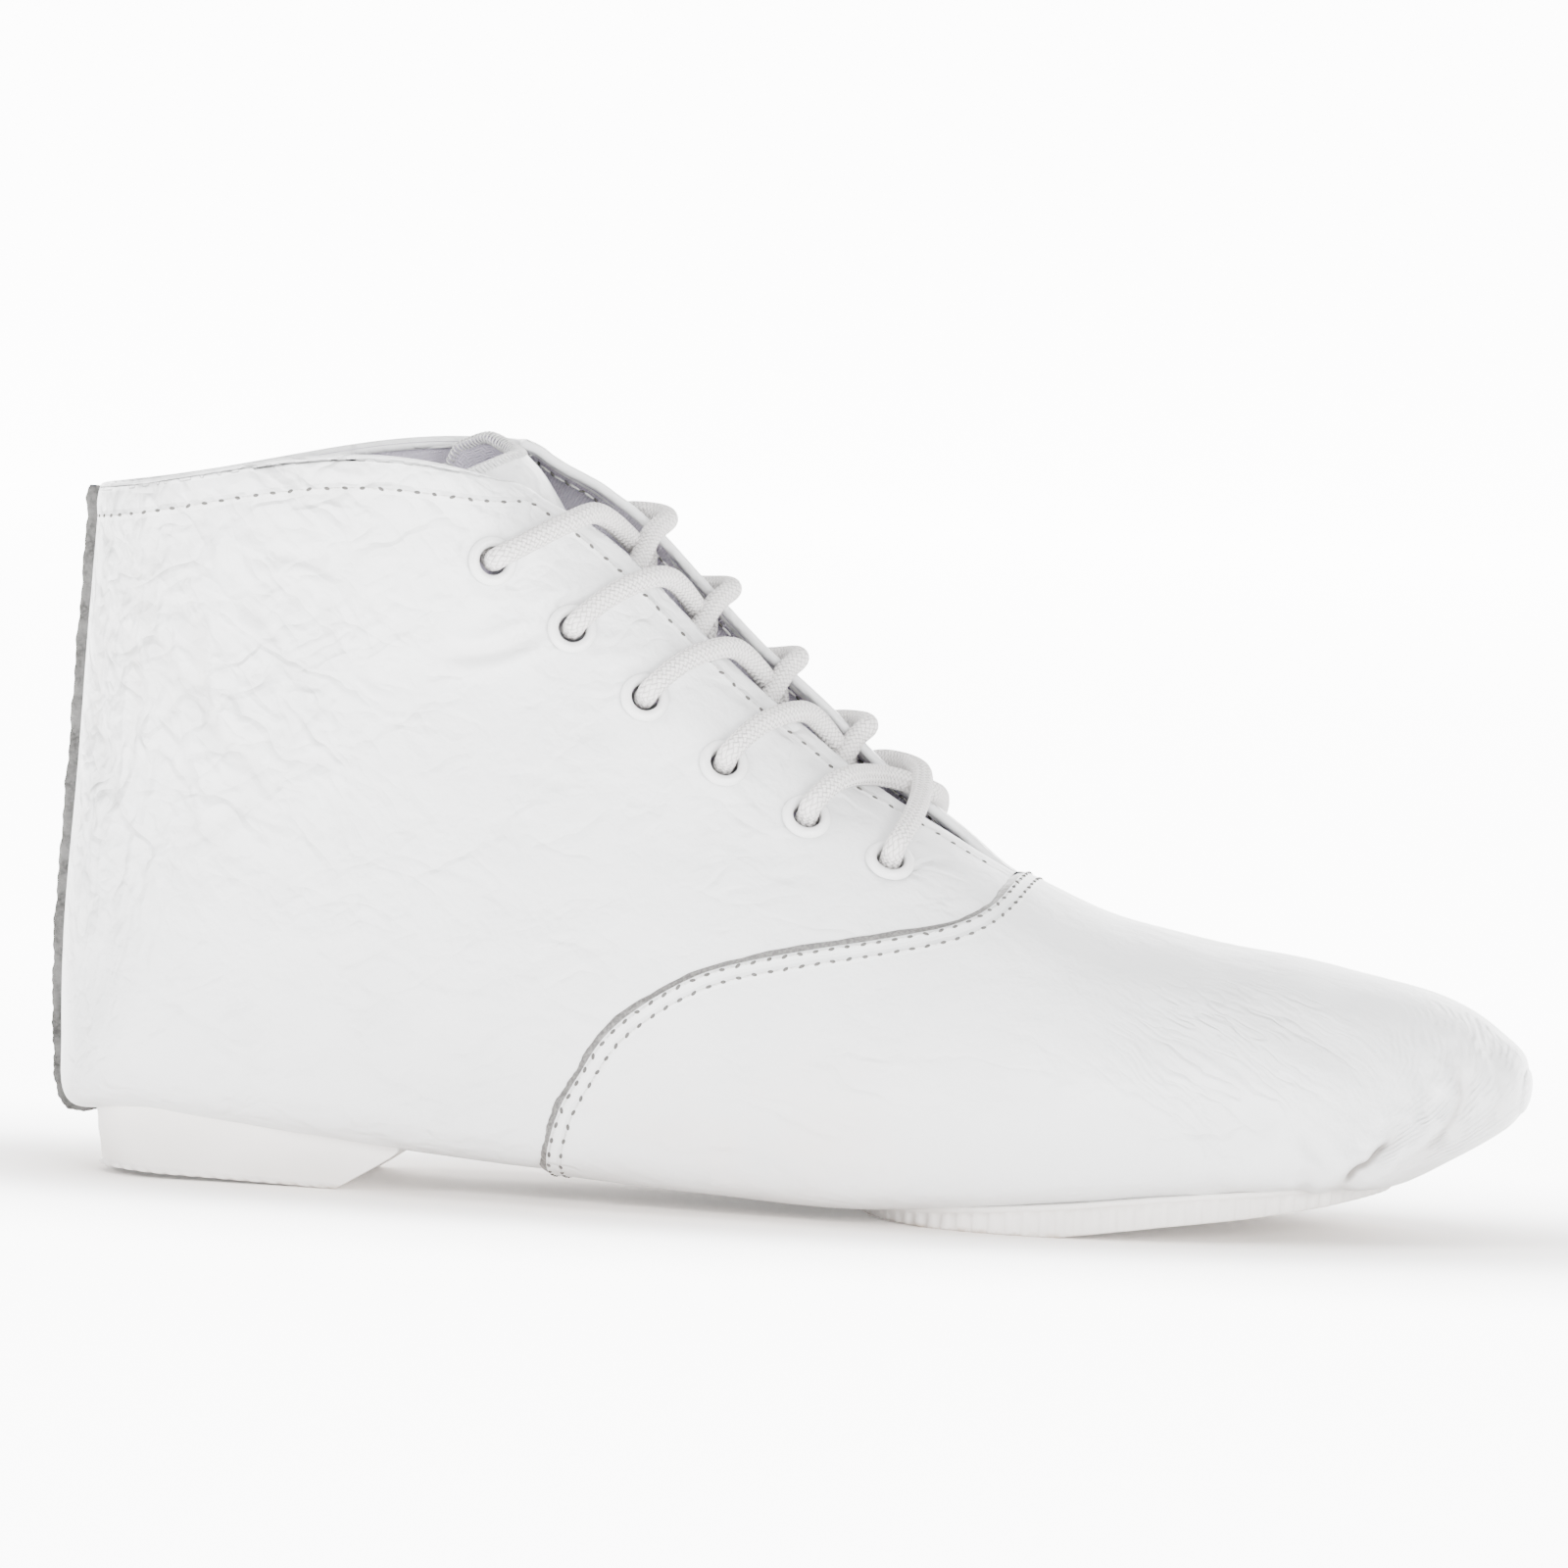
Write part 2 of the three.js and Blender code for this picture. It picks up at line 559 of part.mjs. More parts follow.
function heelBlock() {
  const { rear, front } = heelPlan;
  const ring = (inset, z) => {
    const half = HEEL_WIDTH / 2 - inset;
    const back = rear + inset;
    const shape = new THREE.Shape();
    shape.moveTo(front + HEEL_BREAST_LEAN, half);
    shape.lineTo(back + HEEL_CORNER_RADIUS, half);
    const [turnX, turnY] = [back + HEEL_CORNER_RADIUS, half - HEEL_CORNER_RADIUS];
    shape.absarc(turnX, turnY, HEEL_CORNER_RADIUS, Math.PI / 2, Math.PI, false);
    shape.absarc(turnX, -turnY, HEEL_CORNER_RADIUS, Math.PI, 1.5 * Math.PI, false);
    shape.lineTo(front + HEEL_BREAST_LEAN, -half);
    return shape.getPoints(8).map((p) => new THREE.Vector3(p.x, p.y, z));
  };
  const tall = 1.6; // the block is made taller than the heel, and cut by the upper's underside
  const skin = new Skin();
  const low = ring(HEEL_TAPER, 0).map((p) => skin.point(p));
  const high = ring(HEEL_TAPER * (1 - tall), tall * HEEL_HEIGHT).map((p) => skin.point(p));
  skin.strip([...low, low[0]], [...high, high[0]]);
  for (let i = 1; i < low.length - 1; i++) {
    skin.triangle(low[0], low[i + 1], low[i]);
    skin.triangle(high[0], high[i], high[i + 1]);
  }
  const breastTop = sectionAt(placeUnder(front)).underZ;
  const breast = new THREE.QuadraticBezierCurve(
    point2(front - HEEL_BREAST_LEAN, 0),
    point2(front - 0.36 * HEEL_BREAST_LEAN, 0.55 * breastTop),
    point2(front, breastTop),
  ).getPoints(6);
  const side = [point2(0, 0), ...breast, ...featherLine(0.004 * LENGTH, front, SOLE_LIP).reverse()];
  return skin.solid().intersect(pushAcross(side, -WIDE, WIDE)).subtract(formSolid(CLEARANCE));
}

// Insole: a thin board that fills the inside's floor from the heel to the toe.
function insole() {
  const rear = 0.004 * LENGTH;
  const front = 0.985 * LENGTH;
  const rise = UPPER_WALL + CLEARANCE + INSOLE_THICKNESS;
  const over = featherLine(rear, front, rise);
  const outline = [point2(rear, -HEEL_HEIGHT), point2(front, -HEEL_HEIGHT), ...over.reverse()];
  return formSolid(-UPPER_WALL - CLEARANCE).intersect(pushAcross(outline, -WIDE, WIDE));
}

// Tongue

// place: in sections from the throat. drop, sides: how deep the tongue's middle and its two edges lie under
// the leather's outside, in leather walls. half: half width as a share of ANKLE_WIDTH. reach: how far it stands
// up over the section, as a share of MEDIAL_RISE.
const tongueRows = [
  { place: -1.6, drop: 1.25, sides: 1.25, half: 0.3, reach: 0 },
  { place: -1, drop: 1.3, sides: 1.3, half: 0.32, reach: 0 },
  { place: -0.4, drop: 2.6, sides: 2.6, half: 0.34, reach: 0 },
  { place: 0.2, drop: 3.9, sides: 3.9, half: 0.36, reach: 0 },
  { place: 1, drop: 4, sides: 4, half: 0.38, reach: 0 },
  { place: 2, drop: 4, sides: 4, half: 0.39, reach: 0 },
  { place: 3, drop: 4, sides: 4, half: 0.39, reach: 0 },
  { place: 4, drop: 4, sides: 4, half: 0.38, reach: 0 },
  { place: 5, drop: 4, sides: 4, half: 0.37, reach: 0 },
  { place: 6.5, drop: 4, sides: 4, half: 0.36, reach: 0 },
  { place: 9, drop: 3.9, sides: 3.9, half: 0.34, reach: 0 },
  { place: 11.3, drop: 2.6, sides: 3, half: 0.31, reach: 0 },
  { place: 13, drop: 0.6, sides: 1.8, half: 0.28, reach: 0.3 },
];
const TONGUE_COLUMNS = 8;

// A point under the leather over the gap: as if the section were closed, at a depth under its outside.
function underLacing(t, y, depth) {
  const s = sectionAt(t);
  const height = (at) => {
    const width = at < 0 ? s.lateral : s.medial;
    const share = Math.min(Math.abs(at) / width, 0.98);
    return s.widest + (1 - s.widest) * (1 - share ** s.dome) ** (1 / s.dome);
  };
  const blend = THREE.MathUtils.smoothstep(y, -0.2 * ANKLE_WIDTH, 0.2 * ANKLE_WIDTH);
  const at = (across) => {
    const low = sectionPoint(s, -1, height(across), s.swing + across);
    const high = sectionPoint(s, 1, height(across), s.swing + across);
    return low.lerp(high, blend);
  };
  const axis = new THREE.Vector3(s.crestX - s.underX, 0, s.crestZ - s.underZ).normalize();
  const along = at(y + 0.5).sub(at(y - 0.5));
  const down = axis.clone().addScaledVector(along, -axis.dot(along) / along.lengthSq()).normalize();
  return at(y).addScaledVector(down, -depth);
}

function tongue() {
  const skin = new Skin();
  const face = (extra) =>
    tongueRows.map((row) => {
      const t = THROAT + row.place;
      const s = sectionAt(t);
      const up = new THREE.Vector3(s.underZ - s.crestZ, 0, s.crestX - s.underX).normalize();
      const indices = [];
      for (let j = 0; j <= TONGUE_COLUMNS; j++) {
        const aside = between(-1, 1, j / TONGUE_COLUMNS);
        const depth = between(row.drop, row.sides, aside ** 2) * UPPER_WALL + extra;
        const p = underLacing(t, aside * row.half * ANKLE_WIDTH, depth);
        indices.push(skin.point(p.addScaledVector(up, row.reach * MEDIAL_RISE)));
      }
      return indices;
    });
  const outer = face(0);
  const inner = face(TONGUE_THICKNESS);
  for (let i = 1; i < tongueRows.length; i++) {
    skin.strip(outer[i - 1], outer[i]);
    skin.strip(inner[i - 1], inner[i], true);
  }
  const last = tongueRows.length - 1;
  skin.strip(inner[0], outer[0]);
  skin.strip(outer[last], inner[last]);
  skin.strip(outer.map((row) => row[0]), inner.map((row) => row[0]));
  skin.strip(inner.map((row) => row[TONGUE_COLUMNS]), outer.map((row) => row[TONGUE_COLUMNS]));
  return skin.solid();
}

// Eyelets and lace

// A place on one side of the lacing: over is the way from the facing's edge over the leather, t the section.
function facingPoint(side, t, over, height) {
  const at = (place, way) => {
    const half = halfSection(sectionAt(place), side, [40, 1, 1]);
    let left = way;
    let i = 0;
    while (i < 39 && left > half[i].distanceTo(half[i + 1])) {
      left -= half[i].distanceTo(half[i + 1]);
      i++;
    }
    return half[i].clone().lerp(half[i + 1], left / half[i].distanceTo(half[i + 1]));
  };
  const nudge = 0.1;
  const point = at(t, over);
  const down = at(t, over + 1).sub(at(t, Math.max(over - 1, 0)));
  const along = at(Math.min(t + nudge, COLLAR), over).sub(at(t - nudge, over));
  const normal = down.cross(along).multiplyScalar(side).normalize();
  return { point: point.clone().addScaledVector(normal, height), normal };
}

// The place t of a share of the facing's edge, 0 at the collar and 1 at the throat.
function facingPlace(share) {
  const steps = 120;
  const lengths = [0];
  const places = [COLLAR];
  for (let i = 1; i <= steps; i++) {
    const t = between(COLLAR, THROAT, i / steps);
    const here = sectionAt(t);
    const before = sectionAt(places[i - 1]);
    lengths.push(lengths[i - 1] + Math.hypot(here.crestX - before.crestX, here.crestZ - before.crestZ));
    places.push(t);
  }
  const target = share * lengths[steps];
  const i = lengths.findIndex((length) => length >= target);
  return places[Math.max(i, 0)];
}

// Where each pair's sections start, as shares of the facing's edge.
const eyeletRows = [0.085, 0.218, 0.358, 0.505, 0.655, 0.807].map(facingPlace);

function eyeletPlaces() {
  const places = [];
  for (const [side, word] of [[-1, "lateral"], [1, "medial"]]) {
    eyeletRows.forEach((t, i) => {
      places.push({ name: `eyelet_${word}_${i + 1}`, ...facingPoint(side, t, EYELET_INSET, 0) });
    });
  }
  return places;
}

function turnedTo(geometry, { point, normal }) {
  const turn = new THREE.Quaternion().setFromUnitVectors(new THREE.Vector3(0, 1, 0), normal);
  return geometry.applyQuaternion(turn).translate(point.x, point.y, point.z);
}

function eyeletBore(place) {
  const bore = new THREE.CylinderGeometry(
    EYELET_BARREL / 2 + CLEARANCE,
    EYELET_BARREL / 2 + CLEARANCE,
    6 * UPPER_WALL,
    12,
  );
  return solidOf(turnedTo(bore, place));
}

function eyelet(place) {
  const hole = EYELET_HOLE / 2;
  const barrel = EYELET_BARREL / 2;
  const flange = EYELET_FLANGE / 2;
  const seat = CLEARANCE + FACET_ALLOWANCE;
  const roll = UPPER_WALL + CLEARANCE + FACET_ALLOWANCE;
  const profile = [
    [hole, -roll - 0.6 * EYELET_DOME],
    [barrel + 0.6, -roll - 0.3 * EYELET_DOME],
    [barrel, -roll],
    [barrel, seat],
    [flange, seat],
    [flange - 0.2, seat + 0.55 * EYELET_DOME],
    [(hole + flange) / 2, seat + EYELET_DOME],
    [hole, seat + 0.7 * EYELET_DOME],
  ].map(([x, y]) => point2(x, y));
  const ring = new THREE.LatheGeometry([...profile, profile[0].clone()], 10);
  return solidOf(turnedTo(ring, place));
}

// A strand of lace through its points.
function strand(points, steps) {
  const section = new THREE.Shape();
  const sides = 6;
  for (let i = 0; i < sides; i++) {
    const angle = (i / sides) * 2 * Math.PI;
    const corner = point2(Math.cos(angle), Math.sin(angle)).multiplyScalar(LACE_DIAMETER / 2);
    if (i) section.lineTo(corner.x, corner.y);
    else section.moveTo(corner.x, corner.y);
  }
  const path = new THREE.CatmullRomCurve3(points, false, "centripetal");
  return solidOf(new THREE.ExtrudeGeometry(section, { steps, bevelEnabled: false, extrudePath: path }));
}

// Heights of a strand's middle over the leather's outside: on the leather, under the facing, over an eyelet
const LACE_OVER = LACE_DIAMETER / 2 + CLEARANCE + FACET_ALLOWANCE;
const LACE_UNDER = -UPPER_WALL - LACE_OVER;
const LACE_AT_EYELET = LACE_OVER + CLEARANCE + EYELET_DOME;

// One crossing between two pairs. Each strand comes out of its eyelet, over its own facing's edge, and goes
// under the other facing. The medial strand lies on the lateral one. Places along the lacing are shares of
// the pitch.
function crossing(from, to) {
  const at = (side, share, over, height) => facingPoint(side, between(from, to, share), over, height).point;
  const lateralEdge = at(-1, 0.47, 0, LACE_OVER);
  const medialEdge = at(1, 0.97, 0, LACE_OVER);
  const meeting = at(-1, 0.95, 0, 0).lerp(at(1, 0.98, 0, 0), 0.66);
  const outward = facingPoint(1, to, 0, 0).normal.setY(0).setLength(LACE_PRESS * LACE_DIAMETER);
  const lateral = [
    at(-1, 0, EYELET_INSET, LACE_AT_EYELET),
    at(-1, 0.08, EYELET_INSET * 0.65, LACE_AT_EYELET),
    at(-1, 0.25, EYELET_INSET * 0.3, LACE_OVER + FACET_ALLOWANCE),
    lateralEdge,
    meeting.clone().addScaledVector(outward, -0.75),
    at(1, 1.02, EYELET_INSET * 0.15, LACE_UNDER),
    at(1, 1.06, EYELET_INSET * 0.35, LACE_UNDER),
  ];
  const medial = [
    at(1, 0, EYELET_INSET, LACE_AT_EYELET),
    at(1, 0.3, EYELET_INSET * 0.7, LACE_AT_EYELET),
    at(1, 0.72, EYELET_INSET * 0.3, LACE_OVER + FACET_ALLOWANCE),
    medialEdge,
    meeting.clone().addScaledVector(outward, 0.25),
    at(-1, 1.08, EYELET_INSET * 0.1, LACE_UNDER),
    at(-1, 1.06, EYELET_INSET * 0.35, LACE_UNDER),
  ];
  return strand(lateral, 10).add(strand(medial, 10));
}

// The lowest crossing lies outside: both strands pass over both edges, one on top of the other.
function outsideStrand(side, from, to, lift) {
  const at = (where, share, over, height) => facingPoint(where, between(from, to, share), over, height).point;
  return strand(
    [
      at(side, 0, EYELET_INSET, LACE_AT_EYELET),
      at(side, 0.12, EYELET_INSET * 0.6, LACE_AT_EYELET),
      at(side, 0.5, 0, LACE_OVER + lift),
      at(-side, 0.85, 0, LACE_OVER + lift),
      at(-side, 0.98, EYELET_INSET * 0.55, LACE_AT_EYELET),
      at(-side, 1, EYELET_INSET, LACE_AT_EYELET),
    ],
    9,
  );
}

function laceBar() {
  const t = eyeletRows[eyeletRows.length - 1];
  const clearOfEyelet = EYELET_INSET - EYELET_FLANGE / 2 - LACE_DIAMETER;
  const points = [
    [-1, clearOfEyelet],
    [-1, 0],
    [1, 0],
    [1, clearOfEyelet],
  ].map(([side, over]) => facingPoint(side, t, over, LACE_UNDER).point);
  return strand(points, 6);
}

// The boot
const boot = new THREE.Group();
boot.add(meshOf("upper", upper(), MATERIALS.leather));
boot.add(meshOf("forefoot_sole", forefootSole(), MATERIALS.rubber));
boot.add(meshOf("heel_block", heelBlock(), MATERIALS.rubber));
boot.add(meshOf("insole", insole(), MATERIALS.lining));
boot.add(meshOf("tongue", tongue(), MATERIALS.leather));
for (const place of eyeletPlaces()) boot.add(meshOf(place.name, eyelet(place), MATERIALS.enamel));
const room = formShell(CLEARANCE, -UPPER_WALL - CLEARANCE, CLEARANCE);
for (let i = 0; i < eyeletRows.length - 1; i++) {
  const [from, to] = [eyeletRows[i], eyeletRows[i + 1]];
  const lowest = i === eyeletRows.length - 2;
  const lace = lowest
    ? outsideStrand(-1, from, to, 0).add(outsideStrand(1, from, to, LACE_PRESS * LACE_DIAMETER))
    : crossing(from, to);
  boot.add(meshOf(`lace_crossing_${i + 1}`, lace.subtract(room), MATERIALS.cotton));
}
boot.add(meshOf("lace_bar", laceBar().subtract(room), MATERIALS.cotton));

const heelRest = (heelPlan.rear + heelPlan.front - HEEL_BREAST_LEAN) / 2;
boot.position.set(-heelRest, 0, 0);

const part = new THREE.Group();
part.add(boot);
export default part;
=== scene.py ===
# A low lace-up dance boot for the right foot, dressed over its measured solids.
# Sizes are in millimetres and become metres when a mesh is made. +X points to the toe, +Y to the inner
# (medial) side, +Z up; the floor is z = 0 and the origin is the middle of the heel block's underside.
import math
import bmesh
import bpy
import numpy as np
from mathutils import Matrix, Vector


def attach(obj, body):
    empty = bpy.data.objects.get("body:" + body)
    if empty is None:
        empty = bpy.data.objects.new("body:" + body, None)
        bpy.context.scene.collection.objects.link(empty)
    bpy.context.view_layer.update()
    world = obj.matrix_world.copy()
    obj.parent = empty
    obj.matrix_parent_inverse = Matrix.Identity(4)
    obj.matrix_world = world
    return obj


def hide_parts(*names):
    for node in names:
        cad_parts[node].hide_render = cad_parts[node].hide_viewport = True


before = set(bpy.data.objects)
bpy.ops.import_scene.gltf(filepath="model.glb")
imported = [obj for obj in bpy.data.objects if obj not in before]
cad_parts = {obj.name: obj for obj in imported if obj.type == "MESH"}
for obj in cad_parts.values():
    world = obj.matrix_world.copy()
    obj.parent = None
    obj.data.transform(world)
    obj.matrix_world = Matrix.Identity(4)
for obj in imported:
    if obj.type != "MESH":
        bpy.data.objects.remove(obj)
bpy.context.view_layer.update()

# The camera
# A long lens a few metres from the boot's outer side, a little above it and a little in front of it. The
# picture is turned so that the floor runs down to the right, as in the photograph.
VIEW_YAW = 7.8
VIEW_RISE = 3.6
PICTURE_TURN = 2.539
VIEW_DISTANCE = 2400
VIEW_POINT = Vector((95.40, 0, 73.435))
LENS = 314.38

yaw, rise, turn = (math.radians(a) for a in (VIEW_YAW, VIEW_RISE, PICTURE_TURN))
back = Vector((math.sin(yaw) * math.cos(rise), -math.cos(yaw) * math.cos(rise), math.sin(rise)))
right = Vector((math.cos(yaw), math.sin(yaw), 0))
up = back.cross(right)
lens = bpy.data.cameras.new("camera")
lens.sensor_width = 36
lens.lens = LENS
camera = bpy.data.objects.new("camera", lens)
bpy.context.collection.objects.link(camera)
camera.matrix_world = Matrix.LocRotScale(None, None, None)
turned_right = right * math.cos(turn) + up * math.sin(turn)
turned_up = up * math.cos(turn) - right * math.sin(turn)
camera.matrix_world = Matrix(
    (
        (turned_right.x, turned_up.x, back.x, (VIEW_POINT.x + back.x * VIEW_DISTANCE) / 1000),
        (turned_right.y, turned_up.y, back.y, (VIEW_POINT.y + back.y * VIEW_DISTANCE) / 1000),
        (turned_right.z, turned_up.z, back.z, (VIEW_POINT.z + back.z * VIEW_DISTANCE) / 1000),
        (0, 0, 0, 1),
    )
)
bpy.context.scene.camera = camera


# The floor and the light
# A plain white sweep that runs up behind the boot, under a broad light from above, a smaller one from the
# front left, and an even white sky. The paper's glow is painted light: faint next to the boot and rising away
# from it and towards the back, so that it paints the boot's soft shadow; under the boot the paper is painted a
# darker warm shadow.
class Wire:
    """A shader socket that Python's operators work on: each one adds its Math node."""

    def __init__(self, finish, socket):
        self.finish, self.socket = finish, socket

    def math(self, operation, *others, **settings):
        inputs = dict(enumerate((self, *others)))
        return self.finish.node("ShaderNodeMath", {"operation": operation, **settings}, inputs)

    def __add__(self, other):
        return self.math("ADD", other)

    __radd__ = __add__

    def __mul__(self, other):
        return self.math("MULTIPLY", other)

    __rmul__ = __mul__

    def __sub__(self, other):
        return self.math("SUBTRACT", other)

    def __rsub__(self, other):
        return (self * -1) + other

    def __truediv__(self, other):
        return self.math("DIVIDE", other)

    def __pow__(self, other):
        return self.math("POWER", other)

    def clamped(self):
        return self.math("ADD", 0.0, use_clamp=True)

    def near(self, middle, width):
        """1 where the value is at the middle, falling to 0 over the width on both sides."""
        apart = (self - middle).math("ABSOLUTE") / width
        return (1 - apart).math("MAXIMUM", 0.0)

    def rises(self, low, high):
        """0 below low, 1 above high, smooth in between."""
        return self.finish.node(
            "ShaderNodeMapRange",
            {"interpolation_type": "SMOOTHSTEP"},
            {"Value": self, "From Min": low, "From Max": high},
        )


class Finish:
    """One material: its nodes are added by node(), and shown() sets what the surface shader gets."""

    def __init__(self, name):
        self.material = bpy.data.materials.new(name)
        self.material.use_nodes = True
        self.tree = self.material.node_tree
        self.surface = self.tree.nodes["Principled BSDF"]

    def node(self, kind, settings=None, inputs=None, out=0):
        made = self.tree.nodes.new(kind)
        for key, value in (settings or {}).items():
            if key == "stops":
                while len(made.color_ramp.elements) < len(value):
                    made.color_ramp.elements.new(0.5)
                for stop, (place, level) in zip(made.color_ramp.elements, value):
                    stop.position = place
                    stop.color = (*level, 1) if isinstance(level, tuple) else (level, level, level, 1)
            else:
                setattr(made, key, value)
        for key, value in (inputs or {}).items():
            self.put(made.inputs[key], value)
        return Wire(self, made.outputs[out])

    def put(self, socket, value):
        if isinstance(value, Wire):
            self.tree.links.new(value.socket, socket)
        elif isinstance(value, (tuple, list)) and socket.type == "RGBA" and len(value) == 3:
            socket.default_value = (*value, 1)
        else:
            socket.default_value = value

    def shown(self, **inputs):
        for key, value in inputs.items():
            self.put(self.surface.inputs[key.replace("_", " ")], value)
        return self.material

    def mixed(self, share, first, second):
        """A colour between two colours."""
        return self.node("ShaderNodeMix", {"data_type": "RGBA"}, {0: share, 6: first, 7: second}, out=2)

    def place(self):
        return self.node("ShaderNodeTexCoord", {}, {}, out="Object")

    def stretched(self, place, scale, turn=(0, 0, 0)):
        return self.node("ShaderNodeMapping", {}, {"Vector": place, "Rotation": turn, "Scale": scale})

    def noise(self, place, scale, detail=2.0, roughness=0.5, out=0):
        inputs = {"Vector": place, "Scale": scale, "Detail": detail, "Roughness": roughness}
        return self.node("ShaderNodeTexNoise", {}, inputs, out=out)

    def cells(self, place, scale, feature="F1", randomness=1.0):
        return self.node(
            "ShaderNodeTexVoronoi",
            {"feature": feature},
            {"Vector": place, "Scale": scale, "Randomness": randomness},
            out="Distance",
        )

    def kept(self, name):
        """A value that the mesh keeps at its points."""
        return self.node("ShaderNodeAttribute", {"attribute_name": name}, {}, out="Fac")

    def bumped(self, height):
        """Normals for a height in millimetres."""
        return self.node("ShaderNodeBump", {}, {"Height": height * 0.001, "Distance": 1.0, "Strength": 1.0})


FLOOR_FRONT = 3000
FLOOR_BACK = 2700
SWEEP_RADIUS = 700
SWEEP_HEIGHT = 2500
FLOOR_HALF_WIDTH = 3000

outline = [(-FLOOR_FRONT, 0), (FLOOR_BACK, 0)]
for i in range(1, 17):
    angle = i / 16 * math.pi / 2
    outline.append((FLOOR_BACK + SWEEP_RADIUS * math.sin(angle), SWEEP_RADIUS * (1 - math.cos(angle))))
outline.append((FLOOR_BACK + SWEEP_RADIUS, SWEEP_HEIGHT))
sweep_mesh = bpy.data.meshes.new("floor")
sweep_mesh.from_pydata(
    [(x / 1000, y / 1000, z / 1000) for y, z in outline for x in (-FLOOR_HALF_WIDTH, FLOOR_HALF_WIDTH)],
    [],
    [(2 * i, 2 * i + 1, 2 * i + 3, 2 * i + 2) for i in range(len(outline) - 1)],
)
for face in sweep_mesh.polygons:
    face.use_smooth = True
floor = bpy.data.objects.new("floor", sweep_mesh)
bpy.context.collection.objects.link(floor)
paper = Finish("white_sweep")
paper_x, paper_y = (paper.node("ShaderNodeSeparateXYZ", {}, {"Vector": paper.place()}, out=i) for i in range(2))
beside = (((paper_x - 0.095) / 0.16) ** 2 + (paper_y / 0.065) ** 2) ** 0.5
# Painted light: the paper's emission is faint next to the boot and rises away from it and towards the back, which
# paints a soft shadow round the boot.
painted_glow = beside.rises(0.72, 1.4) * 0.36 + beside.rises(0.8, 2.3) * 0.44 + paper_y.rises(0.05, 0.6) * 0.2 + 0.02
# Painted shadow: the paper's colour turns a darker warm shade under and just round the boot.
floor.data.materials.append(
    paper.shown(
        Base_Color=paper.mixed(beside.rises(0.5, 1.3), (0.84, 0.79, 0.75), (0.93, 0.925, 0.92)), Roughness=0.9, Specular_IOR_Level=0.1, Emission_Strength=9.0,
        Emission_Color=paper.mixed(painted_glow.clamped(), (0, 0, 0), (1, 1, 1)),
    )
)

sky = bpy.data.worlds.new("studio")
bpy.context.scene.world = sky
sky.use_nodes = True
sky.node_tree.nodes["Background"].inputs["Color"].default_value = (1, 1, 1, 1)
sky.node_tree.nodes["Background"].inputs["Strength"].default_value = 0.8


def soft_light(name, size, watts, at, towards):
    lamp = bpy.data.lights.new(name, "AREA")
    lamp.shape = "RECTANGLE"
    lamp.size, lamp.size_y = size
    lamp.energy = watts
    holder = bpy.data.objects.new(name, lamp)
    bpy.context.collection.objects.link(holder)
    holder.location = at
    holder.rotation_euler = (Vector(towards) - Vector(at)).to_track_quat("-Z", "Y").to_euler()


soft_light("overhead", (1.4, 1.0), 28, (0.1, -0.1, 1.5), (0.1, 0, 0.05))
soft_light("front_left", (0.5, 0.5), 80, (-1.9, -1.7, 1.25), (0.09, 0, 0.06))
soft_light("front_right", (0.5, 0.5), 40, (1.0, -1.35, 0.45), (0.1, 0, 0.05))

# The quarters
# Two soft white leather sides sewn together up the back, folded over at the collar and down both facings, and
# stitched five millimetres from the fold. The leather is creased from wear, most of all round the heel.
LENGTH = 258.4
BALL_WIDTH = 88
BALL_HEIGHT = 5.4
TOE_SPRING = 17.3
INSTEP_HEIGHT = 59.9
HEEL_HEIGHT = 11.2
ANKLE_WIDTH = 59
BACK_HEIGHT = 119.7
FRONT_HEIGHT = 124.3
MEDIAL_RISE = 6.4
COLLAR_BOW = 5
FACING_GAP = 23
LEATHER = 1.7
VAMP_STEP = 0.9
HEEL_REST = 30.968  # from the heel's back to the origin

# Rows from the toe to the collar. underX, underZ, crestX, crestZ, lateral, medial, swing, widest, flat, side,
# dome, as shares of the length, toe spring, instep height and ball width.
closed_rows = np.array([
    [0.995, 1.0, 0.997, 0.49, 0.08, 0.08, 0.1, 0.5, 2.2, 2.2, 2.1],
    [0.984, 0.82, 0.989, 0.555, 0.15, 0.148, 0.1, 0.48, 2.4, 2.2, 2.1],
    [0.954, 0.54, 0.946, 0.675, 0.26, 0.25, 0.096, 0.42, 3.2, 2.6, 2.1],
    [0.912, 0.25, 0.897, 0.732, 0.345, 0.335, 0.08, 0.37, 5, 3, 2.1],
    [0.851, 0.2, 0.823, 0.785, 0.42, 0.412, 0.062, 0.34, 7.5, 3.6, 2.05],
    [0.776, 0.11, 0.757, 0.84, 0.474, 0.466, 0.045, 0.32, 9, 4, 2],
    [0.707, 0, 0.702, 0.902, 0.5, 0.494, 0.028, 0.31, 9, 4.4, 2],
    [0.625, -0.11, 0.65, 1, 0.488, 0.478, 0.012, 0.29, 9, 4.4, 1.95],
])
